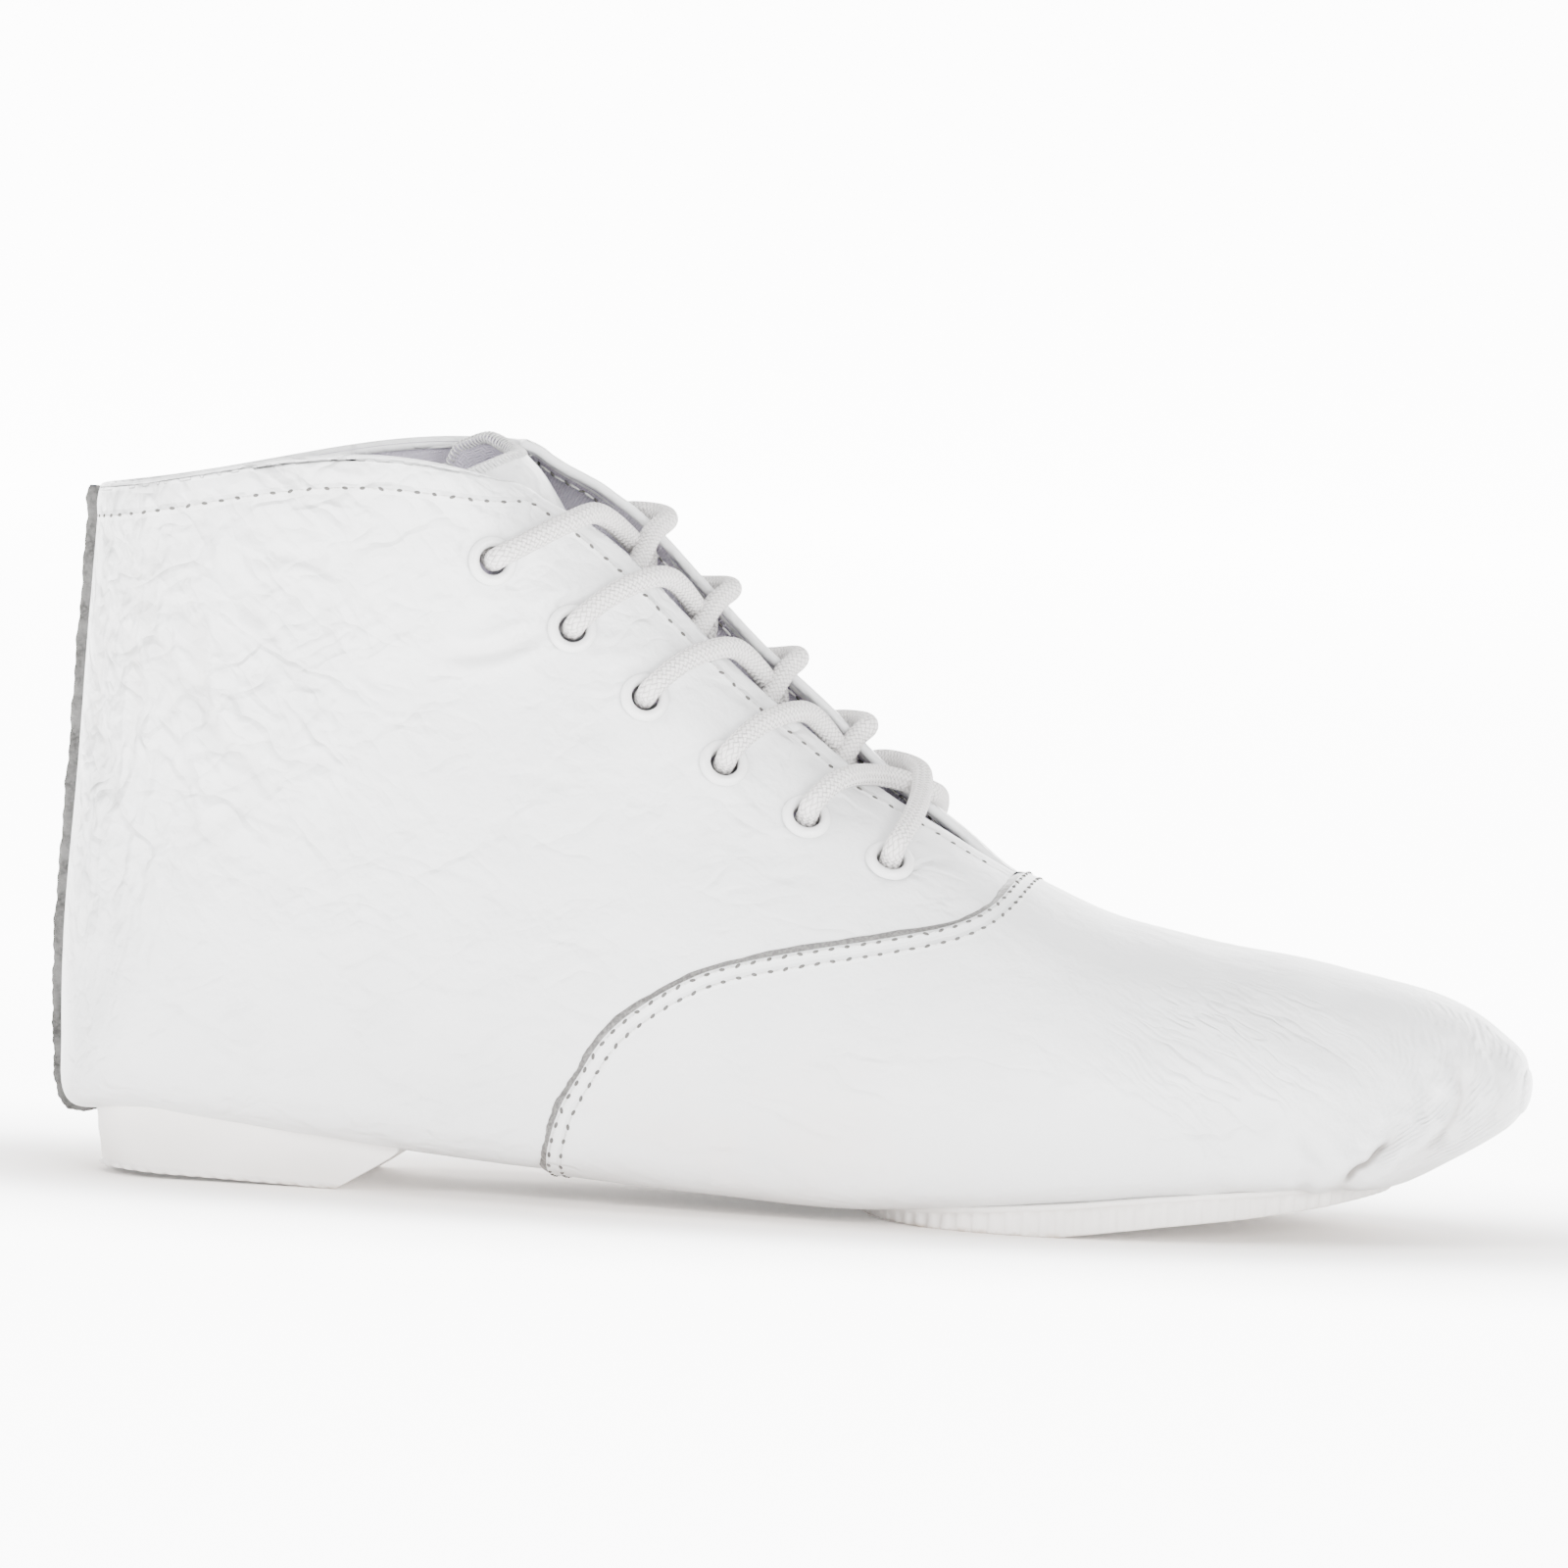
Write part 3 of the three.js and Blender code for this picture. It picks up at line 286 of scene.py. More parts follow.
# underX, underZ, crestX, crestZ, lateral, medial, widest, flat, side, dome, gap, riseX, riseZ, bow: the same for
# the laced front and the back, as shares of the heel height (last six: of the back seam) and the ankle width.
open_rows = np.array([
    [0.55, 0.23, 0.611, 0.09, 0.7, 0.655, 0.27, 8, 4.4, 1.8, 0.16, 0.1, 0.2, 0],
    [0.467, 0.32, 0.554, 0.223, 0.65, 0.58, 0.25, 8, 4.4, 1.75, 0.27, 0.25, 0.4, 0],
    [0.382, 0.42, 0.505, 0.37, 0.6, 0.52, 0.25, 8, 4.6, 1.7, 0.38, 0.4, 0.6, 0],
    [0.296, 0.54, 0.459, 0.517, 0.56, 0.495, 0.27, 9, 4.8, 1.7, 0.5, 0.4, 0.65, 0],
    [0.211, 0.7, 0.42, 0.666, 0.53, 0.49, 0.3, 10, 5, 1.75, 0.61, 0.4, 0.65, 0],
    [0.126, 0.85, 0.391, 0.781, 0.515, 0.495, 0.34, 10, 5, 1.8, 0.7, 0.35, 0.7, 0],
    [0.05, 0.96, 0.37, 0.852, 0.51, 0.495, 0.37, 8, 3.8, 1.85, 0.77, 0.3, 0.75, 0],
    [0.01, 0.004, 0.356, 0.891, 0.508, 0.492, 0.4, 4.2, 2.8, 1.9, 0.81, 0.2, 0.8, 0],
    [0.002, 0.11, 0.347, 0.915, 0.505, 0.492, 0.42, 2.8, 2.4, 1.95, 0.84, 0.1, 0.85, 0.06],
    [0, 0.284, 0.337, 0.933, 0.5, 0.49, 0.45, 2.4, 2.3, 2, 0.87, 0, 0.9, 0.18],
    [0.004, 0.52, 0.327, 0.953, 0.494, 0.484, 0.47, 2.3, 2.3, 2, 0.92, -0.12, 0.93, 0.43],
    [0.008, 0.77, 0.317, 0.974, 0.484, 0.473, 0.49, 2.3, 2.3, 2, 0.96, -0.2, 0.98, 0.72],
    [0.012, 1, 0.304, 1, 0.475, 0.46, 0.5, 2.3, 2.3, 2, 1, -0.33, 1.03, 1],
])
THROAT = len(closed_rows) - 1
COLLAR = len(closed_rows) + len(open_rows) - 1
ON_HEEL = 7  # of the open rows, the first that starts on the heel's back

rows_mm = []
for r in closed_rows:
    rows_mm.append([r[0] * LENGTH, BALL_HEIGHT + r[1] * TOE_SPRING, r[2] * LENGTH, r[3] * INSTEP_HEIGHT,
                    r[4] * BALL_WIDTH, r[5] * BALL_WIDTH, r[6] * BALL_WIDTH, *r[7:11], 0, 0, 0, 0])
for i, r in enumerate(open_rows):
    foot = r[1] * HEEL_HEIGHT if i < ON_HEEL else HEEL_HEIGHT + r[1] * (BACK_HEIGHT - HEEL_HEIGHT)
    rows_mm.append([r[0] * LENGTH, foot, r[2] * LENGTH, INSTEP_HEIGHT + r[3] * (FRONT_HEIGHT - INSTEP_HEIGHT),
                    r[4] * ANKLE_WIDTH, r[5] * ANKLE_WIDTH, 0, *r[6:10], r[10] * FACING_GAP / 2,
                    r[11] * MEDIAL_RISE, r[12] * MEDIAL_RISE, r[13] * COLLAR_BOW])
rows_mm = np.array(rows_mm)
UNDER_X, UNDER_Z, CREST_X, CREST_Z, LATERAL, MEDIAL, SWING, WIDEST, FLAT, SIDE, DOME, GAP, RISE_X, RISE_Z, BOW = range(15)


def through(table, t):
    """A smooth curve through the rows of a table, at places t counted in rows."""
    t = np.asarray(t, float)
    last = len(table) - 1
    i = np.clip(np.floor(t).astype(int), 0, last - 1)
    f = (t - i)[..., None]
    a, b, c, d = (table[np.clip(i + k, 0, last)] for k in (-1, 0, 1, 2))
    return (
        b * (2 * f**3 - 3 * f**2 + 1) + (c - a) / 2 * (f**3 - 2 * f**2 + f)
        + c * (3 * f**2 - 2 * f**3) + (d - b) / 2 * (f**3 - f**2)
    )


def section_at(t):
    s = through(rows_mm, t)
    s[..., GAP] = np.where(np.asarray(t) <= THROAT, 0, np.maximum(s[..., GAP], 0))
    return s


def on_section(s, side, height, y):
    """Points of sections (n, 15): height (n, m) is the way up from under to crest, y (n, m) the place across."""
    ax, az = s[:, CREST_X] - s[:, UNDER_X], s[:, CREST_Z] - s[:, UNDER_Z]
    long = np.hypot(ax, az)
    bow = s[:, BOW, None] * np.sin(np.pi * np.clip(height, 0, None) ** 1.5)
    lift = height**4 if side > 0 else 0 * height
    x = s[:, UNDER_X, None] + ax[:, None] * height - (az / long)[:, None] * bow + s[:, RISE_X, None] * lift
    z = s[:, UNDER_Z, None] + az[:, None] * height + (ax / long)[:, None] * bow + s[:, RISE_Z, None] * lift
    return np.stack([x, y, z], -1)


def evenly(points, steps):
    """Each row of points again, at equal steps along it."""
    lengths = np.concatenate(
        [np.zeros((len(points), 1)), np.cumsum(np.linalg.norm(np.diff(points, axis=1), axis=2), axis=1)], axis=1
    )
    made = np.empty((len(points), steps + 1, 3))
    for row, (line, length) in enumerate(zip(points, lengths)):
        wanted = np.linspace(0, length[-1], steps + 1)
        for axis in range(3):
            made[row, :, axis] = np.interp(wanted, length, line[:, axis])
    return made


def half_section(s, side, steps):
    """From the crest over the widest place and the bottom corner to the under point, on one side."""
    width = s[:, LATERAL if side < 0 else MEDIAL, None]
    widest, gap, swing = s[:, WIDEST, None], s[:, GAP, None], s[:, SWING, None]
    angle = np.linspace(0, np.pi / 2, 97)[None]
    height = widest + (1 - widest) * np.clip(np.cos(angle), 0, None) ** (2 / s[:, DOME, None])
    out = gap + (width - gap) * np.sin(angle) ** (2 / s[:, DOME, None])
    pieces = [evenly(on_section(s, side, height, swing + side * out), steps[0])]
    for low, high, count in ((0, np.pi / 4, steps[1]), (np.pi / 4, np.pi / 2, steps[2])):
        angle = np.linspace(low, high, 97)[None]
        height = widest * (1 - np.sin(angle) ** (2 / s[:, FLAT, None]))
        out = width * np.clip(np.cos(angle), 0, None) ** (2 / s[:, SIDE, None])
        pieces.append(evenly(on_section(s, side, height, swing + side * out), count)[:, 1:])
    return np.concatenate(pieces, axis=1)


# The whole form as a fine net: rows from the toe tip to the collar, columns from the outer crest round under
# the foot to the inner crest.
COLUMN_STEPS = (54, 36, 27)
ROWS_PER_SECTION = 20
TIP_ROWS = 8
HALF = sum(COLUMN_STEPS)
COLUMNS = 2 * HALF + 1
net_t = np.arange(COLLAR * ROWS_PER_SECTION + 1) / ROWS_PER_SECTION
net_sections = section_at(net_t)
net = np.concatenate(
    [half_section(net_sections, -1, COLUMN_STEPS), half_section(net_sections, 1, COLUMN_STEPS)[:, ::-1][:, 1:]], axis=1
)
centre = np.array([LENGTH, net[0, 0, 1], (rows_mm[0, UNDER_Z] + rows_mm[0, CREST_Z]) / 2])
tip_angles = np.linspace(0, np.pi / 2, TIP_ROWS + 1)[:-1]
flat_centre = np.array([net[0, :, 0].mean(), centre[1], centre[2]])
tip_net = [
    np.array([centre[0] - flat_centre[0], 0, 0]) * math.cos(a) + flat_centre + (net[0] - flat_centre) * math.sin(a)
    for a in tip_angles
]
net = np.concatenate([np.array(tip_net), net])
net_t = np.concatenate([tip_angles / (np.pi / 2) - 1, net_t])
closed = net_t <= THROAT
along = np.empty_like(net)
along[1:-1] = net[:-2] - net[2:]
along[0], along[-1] = net[0] - net[1], net[-2] - net[-1]
across = np.empty_like(net)
across[:, 1:-1] = net[:, 2:] - net[:, :-2]
across[:, 0], across[:, -1] = net[:, 1] - net[:, 0], net[:, -1] - net[:, -2]
across[closed, 0] = across[closed, -1] = net[closed, 1] - net[closed, -2]
along[closed, 0, 1] = along[closed, -1, 1] = 0
normals = np.cross(across, along)
size = np.linalg.norm(normals, axis=2, keepdims=True)
normals = np.where(size > 1e-6, normals / np.maximum(size, 1e-6), [1.0, 0, 0])
normals[0] = [1, 0, 0]
column_way = np.concatenate(
    [np.zeros((len(net), 1)), np.cumsum(np.linalg.norm(np.diff(net, axis=1), axis=2), axis=1)], axis=1
)
facing_way = np.minimum(column_way, column_way[:, -1:] - column_way)  # from the nearer facing edge or crest
row_way = np.concatenate([np.zeros((1, COLUMNS)), np.cumsum(np.linalg.norm(np.diff(net, axis=0), axis=2), axis=0)])
collar_way = row_way[-1:] - row_way


def net_row(t):
    return np.interp(t, net_t, np.arange(len(net_t)))


def read_net(values, row, column):
    """Values of the net at places between its rows and columns."""
    row, column = np.broadcast_arrays(np.asarray(row, float), np.asarray(column, float))
    r = np.clip(np.floor(row).astype(int), 0, len(net) - 2)
    c = np.clip(np.floor(column).astype(int), 0, COLUMNS - 2)
    fr, fc = row - r, column - c
    if values.ndim == 3:
        fr, fc = fr[..., None], fc[..., None]
    return (
        values[r, c] * (1 - fr) * (1 - fc) + values[r + 1, c] * fr * (1 - fc)
        + values[r, c + 1] * (1 - fr) * fc + values[r + 1, c + 1] * fr * fc
    )


# The vamp's edge in the side view, from the throat down to the sole, and each net point's way from it.
seam_points = np.array([
    [0.651, 1.015], [0.641, 0.937], [0.62, 0.886], [0.586, 0.85], [0.488, 0.763],
    [0.439, 0.68], [0.396, 0.543], [0.373, 0.394], [0.359, 0.27], [0.351, 0.1],
]) * [LENGTH, INSTEP_HEIGHT]
seam_points = np.concatenate([seam_points, [[seam_points[-1, 0] - 0.3, -12]]])
seam_line = through(seam_points, np.linspace(0, len(seam_points) - 1, 241))
seam_line[0] += [0, 0]


def way_from_line(points, line):
    """Distance (n,) of points (n, 2) from a polyline, with the signed side of its nearest piece."""
    first, piece = line[:-1], np.diff(line, axis=0)
    best = np.full(len(points), 1e9)
    side = np.zeros(len(points))
    for a, d in zip(first, piece):
        rel = points - a
        share = np.clip(rel @ d / (d @ d), 0, 1)
        gap = np.linalg.norm(rel - share[:, None] * d, axis=1)
        closer = gap < best
        best[closer] = gap[closer]
        side[closer] = np.sign(rel[:, 0] * d[1] - rel[:, 1] * d[0])[closer]
    return best, side


way, side = way_from_line(net[..., [0, 2]].reshape(-1, 2), seam_line)
seam_way = (way * np.where(side >= 0, -1, 1)).reshape(net.shape[:2])

# Folds and hollows of the leather, placed in the side view: points (x from the heel's back, z), half
# width, depth (less than 0: a ridge), all on the outer side.
folds = [
    ([(228.2, 9.7), (232.3, 13.5), (234.4, 14.5), (235.9, 16.4), (238, 18.6), (238.6, 20.9)], 1, 1.2),
    ([(240.3, 13.7), (244.7, 17.7), (246.6, 19.8), (248.3, 22.3), (249.3, 25.9), (248.3, 30.4), (246.3, 33)], 1.2, 0.9),
    ([(242.6, 19.7), (243, 22.4), (243.5, 26.1), (242.9, 29.5)], 1.1, 0.35),
    ([(251.7, 19.9), (254.7, 23.9), (255.1, 26.6), (254.1, 29.8), (252.1, 32.8), (249, 35.8)], 1.1, 0.5),
    ([(256.3, 27.5), (255.7, 30.1), (253.5, 33.2), (251.3, 35.6)], 0.9, 0.35),
    ([(257.6, 28.1), (257, 30.7), (255.5, 32.9), (252.9, 35.2)], 0.9, 0.35),
    ([(251, 27.6), (250.7, 30.4), (248.8, 33), (246.3, 35.6)], 0.9, 0.3),
    ([(245.1, 27.9), (244.4, 31.2), (242.8, 33.9)], 1, 0.25),
    ([(219.1, 9.4), (221.5, 9.6), (223.1, 10.5), (223.8, 12.5)], 0.9, 1),
    ([(208.9, 10.6), (212.2, 9), (215.9, 9.2), (218.9, 9.4)], 1.3, 0.6),
    ([(227, 12.2), (227, 14.2), (225.2, 16.9), (222.3, 19.6)], 1.2, 0.3),
    ([(226.2, 9.7), (228.2, 9.7), (230.6, 9.7), (234.1, 9.9)], 0.9, 0.9),
    ([(208.4, 42.4), (215.5, 37.4), (222.1, 33.5), (228.5, 31.3)], 2, 0.3),
    ([(215.1, 41.4), (221.8, 37), (225.6, 34.5), (232.1, 30.8)], 1.8, 0.3),
    ([(205.3, 23.7), (208.4, 21.2), (212, 18.5)], 3, 0.5),
    ([(213.5, 23.8), (216.2, 21.6), (219.5, 20.4)], 1.6, 0.3),
    ([(20.7, 101.2), (25.4, 98.2), (26.5, 91.4), (27.5, 84.6), (30, 79.8), (35, 74.9), (39.8, 71.2)], 1.6, 0.6),
    ([(9.5, 109.3), (13.2, 105.3), (16.3, 97.7), (20.4, 91.1), (26.3, 85.7), (27.6, 81.3)], 1.7, 0.5),
    ([(8.2, 95.8), (11.8, 95.4), (14.7, 90.6), (15.1, 83.8), (15.4, 78.7)], 1.5, 0.5),
    ([(18.1, 86.9), (21.4, 84.8), (22.9, 78.7)], 1.4, 0.4),
    ([(33.7, 102.7), (38.6, 97.8), (42.3, 92.4), (48.8, 89.2)], 1.3, 0.35),
    ([(44.6, 108.4), (42.5, 102.2), (41.5, 97.5)], 1.3, 0.3),
    ([(46.5, 113.6), (49, 105.1), (49.9, 97.2), (50.4, 92.1)], 1.2, 0.3),
    ([(68.8, 95.2), (73.3, 94.6), (80.3, 96.3), (86.4, 100.7)], 1.2, 0.4),
    ([(43.8, 88), (42.1, 84.5), (41.7, 81)], 1.3, 0.3),
    ([(5.1, 102.6), (8.2, 95.8), (7, 87.7), (6.2, 79.6), (10.1, 68.5)], 1.8, 0.4),
    ([(43.2, 74), (49.1, 75), (53.3, 76.9)], 1.4, 0.25),
    ([(32.6, 71.9), (36.3, 69.7), (34.4, 65.7), (28, 61.3)], 1.6, 0.3),
    ([(16, 115.9), (16.8, 108.9), (16.3, 98.8)], 1.4, 0.35),
    ([(35.2, 109.8), (40.4, 110.4), (43.8, 109.9), (47.3, 110)], 1.1, 0.3),
    ([(70, 94.9), (75.7, 94.6), (81.4, 96.5), (87, 100.3)], 1.2, 0.35),
    ([(82.6, 101.4), (88, 103.3), (94, 104.7)], 1.2, 0.3),
    ([(98.1, 90.8), (101, 93.3), (105, 94.7)], 1.1, 0.25),
    ([(117.9, 91), (122.4, 87.4), (128.4, 83.6), (135.5, 79.6)], 1.2, 0.3),
    ([(130.5, 79.6), (136.4, 77), (143.6, 73.2)], 1.1, 0.3),
]
FOLD_STRENGTH = 1.6
# Wider hollows and swells of both sides: x, z, radius along, radius up, depth.
swells = [
    (238, 30, 16, 9, 0.5),
    (205, 24, 14, 8, 0.9),
    (60, 60, 26, 30, 0.7),
    (20, 30, 12, 16, -0.5),
    (120, 66, 22, 14, 0.5),
    (105, 30, 24, 18, -0.4),
    (160, 30, 22, 14, -0.4),
    (85, 90, 16, 16, 0.4),
    (243, 47, 7, 5, 0.8),
    (252, 41, 5, 5, -0.7),
]


def shaped(points, outer_side):
    """How far the leather stands off the smooth form, in millimetres, and how deep in a fold it is."""
    flat = points[..., [0, 2]].reshape(-1, 2)
    off = np.zeros(len(flat))
    deep = np.zeros(len(flat))
    for x, z, along_x, up_z, depth in swells:
        off -= depth * np.exp(-(((flat[:, 0] - x) / along_x) ** 2 + ((flat[:, 1] - z) / up_z) ** 2))
    for line, half_width, depth in folds:
        line = np.array(line, float)
        fine = through(line, np.linspace(0, len(line) - 1, 6 * (len(line) - 1) + 1))
        near = (np.abs(flat - fine.mean(0)) < np.ptp(fine, axis=0) / 2 + 5 * half_width).all(1)
        near &= outer_side.reshape(-1)
        if not near.any():
            continue
        gap, _ = way_from_line(flat[near], fine)
        ends = np.minimum(
            np.linalg.norm(flat[near] - fine[0], axis=1), np.linalg.norm(flat[near] - fine[-1], axis=1)
        )
        fade = np.clip(ends / (4 * half_width), 0, 1) ** 0.7
        trough = np.exp(-((gap / half_width) ** 2)) * fade
        lips = np.exp(-(((gap - 2.1 * half_width) / (1.2 * half_width)) ** 2)) * fade
        off[near] += FOLD_STRENGTH * depth * (0.35 * lips - trough)
        deep[near] = np.maximum(deep[near], trough * min(max(depth, 0) / 1.2, 1))
    wave = 0
    for fx, fz, phase, level in (
        (0.11, 0.05, 0.4, 0.16), (0.05, 0.13, 2.1, 0.18), (0.19, 0.16, 4.0, 0.09), (0.23, -0.12, 1.2, 0.08),
        (0.31, 0.09, 5.2, 0.05),
    ):
        wave = wave + level * np.sin(fx * flat[:, 0] + fz * flat[:, 1] + phase + 0.8 * np.sin(0.07 * flat[:, 1]))
    return (off + wave).reshape(points.shape[:2]), deep.reshape(points.shape[:2])


net_off, net_deep = shaped(net, net[..., 1] < rows_mm[0, SWING] * 0.5)
feather = np.clip((net[..., 2] - net[:, [HALF], 2]) / 7, 0, 1)  # the leather lies flat where it is lasted under
net_off *= feather**0.5 * np.clip(row_way / 14, 0, 1)
puff = np.clip(1 - collar_way / 5, 0, 1)
edge_puff = np.clip(1 - facing_way / 5, 0, 1) * (net_t > THROAT)[:, None]
net_off = net_off * (1 - np.maximum(puff, edge_puff)) + 0.3 * np.sin(np.pi * puff) + 0.22 * np.sin(np.pi * edge_puff)


def on_leather(row, column, height=0.0):
    """Points on the leather's outside, and its normals, at a height over it."""
    at, out = read_net(net, row, column), read_net(normals, row, column)
    out = out / np.linalg.norm(out, axis=-1, keepdims=True)
    return at + out * (read_net(net_off, row, column) + height)[..., None], out


def metres(points):
    return (np.asarray(points, float) - [HEEL_REST, 0, 0]) / 1000


def made(name, points, faces, body="root", smooth=True, kept=None, uv=None):
    """A piece from points in millimetres; points that coincide are merged."""
    mesh = bpy.data.meshes.new(name)
    mesh.from_pydata(metres(points).tolist(), [], [tuple(int(i) for i in f) for f in faces])
    for key, values in (kept or {}).items():
        mesh.attributes.new(key, "FLOAT", "POINT").data.foreach_set("value", np.asarray(values, np.float32))
    if uv is not None:
        layer = mesh.uv_layers.new(name="way")
        corners = np.empty(len(mesh.loops), int)
        mesh.loops.foreach_get("vertex_index", corners)
        layer.data.foreach_set("uv", np.asarray(uv, np.float32)[corners].reshape(-1))
    work = bmesh.new()
    work.from_mesh(mesh)
    bmesh.ops.remove_doubles(work, verts=work.verts, dist=2e-6)
    work.to_mesh(mesh)
    work.free()
    mesh.polygons.foreach_set("use_smooth", [smooth] * len(mesh.polygons))
    piece = bpy.data.objects.new(name, mesh)
    bpy.context.collection.objects.link(piece)
    return piece


def net_faces(rows, columns, first=0, turned=False):
    """Quads of a net of points, listed row by row."""
    i = np.arange(rows - 1)[:, None] * columns + np.arange(columns - 1)[None] + first
    quads = np.stack([i, i + 1, i + columns + 1, i + columns], -1).reshape(-1, 4)
    return quads[:, ::-1] if turned else quads


# Places along each column, by its own length, between two ends given in net rows.
def column_rows(start, end, steps):
    rows = np.empty((steps + 1, COLUMNS))
    for j in range(COLUMNS):
        low, high = np.interp([start[j], end[j]], np.arange(len(net)), row_way[:, j])
        rows[:, j] = np.interp(np.linspace(low, high, steps + 1), row_way[:, j], np.arange(len(net)))
    return rows


def seam_rows(distance):
    """The net row in each column that lies this far from the vamp's edge, on the vamp."""
    found = np.empty(COLUMNS)
    distance = np.broadcast_to(distance, COLUMNS)
    for j in range(COLUMNS):
        value = seam_way[:, j] - distance[j]
        last = np.where(value > 0)[0].max()
        step = value[last] / max(value[last] - value[min(last + 1, len(net) - 1)], 1e-6)
        found[j] = last + min(step, 1)
    return found


# The eyelets' places, needed for the holes in the leather: a share of the facing's edge for each pair.
EYELET_INSET = 19.4
EYELET_FLANGE = 8.7
EYELET_HOLE = 4.9
EYELET_BARREL = 6.1
EYELET_DOME = 0.8
crest_t = np.linspace(COLLAR, THROAT, 121)
crest = section_at(crest_t)
crest_way = np.concatenate([[0], np.cumsum(np.hypot(np.diff(crest[:, CREST_X]), np.diff(crest[:, CREST_Z])))])
eyelet_t = [float(crest_t[np.argmax(crest_way >= share * crest_way[-1])]) for share in (0.085, 0.218, 0.358, 0.505, 0.655, 0.807)]


def on_facing(side, t, over, height):
    """A point a way in from a facing's edge, over the form, and the form's normal there."""
    row = float(net_row(t))
    ways = read_net(column_way, row, np.arange(COLUMNS))
    column = float(np.interp(over if side < 0 else ways[-1] - over, ways, np.arange(COLUMNS)))
    at, out = read_net(net, row, column), read_net(normals, row, column)
    out = out / np.linalg.norm(out)
    return at + out * height, out


eyelet_places = [on_facing(side, t, EYELET_INSET, 0) for side in (-1, 1) for t in eyelet_t]

# The leather is pressed down under each eyelet.
for at, _ in eyelet_places:
    clear = np.clip((np.linalg.norm(net - at, axis=-1) - 4.0) / 3.2, 0, 1)
    net_off = net_off * clear - 0.32 * (1 - clear)

QUARTER_ROWS = 190
under_vamp = np.minimum(seam_rows(3.0), seam_rows(0.0) - 0.4)
quarter_places = column_rows(np.maximum(under_vamp, net_row(THROAT + 0.02)), np.full(COLUMNS, len(net) - 1.0), QUARTER_ROWS)
quarter_columns = np.broadcast_to(np.arange(COLUMNS), quarter_places.shape)
quarter_points, quarter_normals = on_leather(quarter_places, quarter_columns)
kept_here = {
    "collar_way": read_net(collar_way, quarter_places, quarter_columns),
    "facing_way": read_net(facing_way, quarter_places, quarter_columns),
    "seam_way": -read_net(seam_way, quarter_places, quarter_columns),
    "fold": read_net(net_deep, quarter_places, quarter_columns),
}

def without_holes(points, faces, radius):
    centres = points[np.asarray(faces)].mean(1)
    keep = np.ones(len(faces), bool)
    for at, _ in eyelet_places:
        keep &= np.linalg.norm(centres - at, axis=1) > radius
    return np.asarray(faces)[keep]


# The fold along the facings and the collar: it rolls round the edge and lies on the inside as a hem.
ROLL_STEPS = 8
HEM = 4.4
COLLAR_HEM = 1.3
EDGE = LEATHER / 2
edge_rows = np.arange(len(quarter_places))
lateral_edge = [(r, 0) for r in edge_rows]
collar_edge = [(edge_rows[-1], c) for c in range(COLUMNS)]
medial_edge = [(r, COLUMNS - 1) for r in edge_rows[::-1]]
strips = []
for name, line in (("lateral", lateral_edge), ("collar", collar_edge), ("medial", medial_edge)):
    at = np.array([quarter_points[r, c] for r, c in line])
    out = np.array([quarter_normals[r, c] for r, c in line])
    run = np.gradient(at, axis=0)
    off = np.cross(out, run)
    off /= np.linalg.norm(off, axis=1, keepdims=True)
    inward = quarter_points[:, 1] if name == "lateral" else quarter_points[:, -2] if name == "medial" else quarter_points[-2]
    away = at - (inward[[r for r, _ in line]] if name != "collar" else inward)
    off *= np.sign((off * away).sum(1))[:, None]
    strips.append((at, out, off))
edge_at, edge_out, edge_off, hem = [], [], [], []
for k, (at, out, off) in enumerate(strips):
    edge_at.extend(at); edge_out.extend(out); edge_off.extend(off)
    hem.extend([COLLAR_HEM if k == 1 else HEM] * len(at))
    if k < 2:
        turn_to = strips[k + 1][2][0]
        for share in np.linspace(0, 1, 8)[1:-1]:
            edge_at.append(at[-1]); edge_out.append(out[-1]); hem.append(COLLAR_HEM)
            edge_off.append((off[-1] * (1 - share) + turn_to * share) / np.linalg.norm(off[-1] * (1 - share) + turn_to * share))
edge_at, edge_out, edge_off = np.array(edge_at), np.array(edge_out), np.array(edge_off)
hem = np.convolve(np.pad(hem, 10, mode="edge"), np.full(21, 1 / 21), mode="valid")
roll = []
for i in range(ROLL_STEPS + 1):
    a = math.pi * i / ROLL_STEPS
    roll.append(edge_at - edge_out * EDGE + EDGE * (edge_out * math.cos(a) + edge_off * math.sin(a)))
for way_in, deep in ((0.25, 2.05), (0.5, 2.2), (0.9, 2.2), (1.0, 1.75)):
    roll.append(edge_at - edge_out * deep - edge_off * (hem * way_in)[:, None])
roll = np.array(roll)

sheet_points = quarter_points.reshape(-1, 3)
sheet_faces = without_holes(sheet_points, net_faces(*quarter_places.shape), 3.15)
roll_faces = net_faces(roll.shape[0], roll.shape[1], first=len(sheet_points), turned=True)
extra = {key: np.full(roll.shape[:2], 9.0 if key != "fold" else 0.0) for key in kept_here}
quarters = made(
    "quarters",
    np.concatenate([sheet_points, roll.reshape(-1, 3)]),
    np.concatenate([sheet_faces, roll_faces]),
    kept={key: np.concatenate([kept_here[key].reshape(-1), extra[key].reshape(-1)]) for key in kept_here},
)


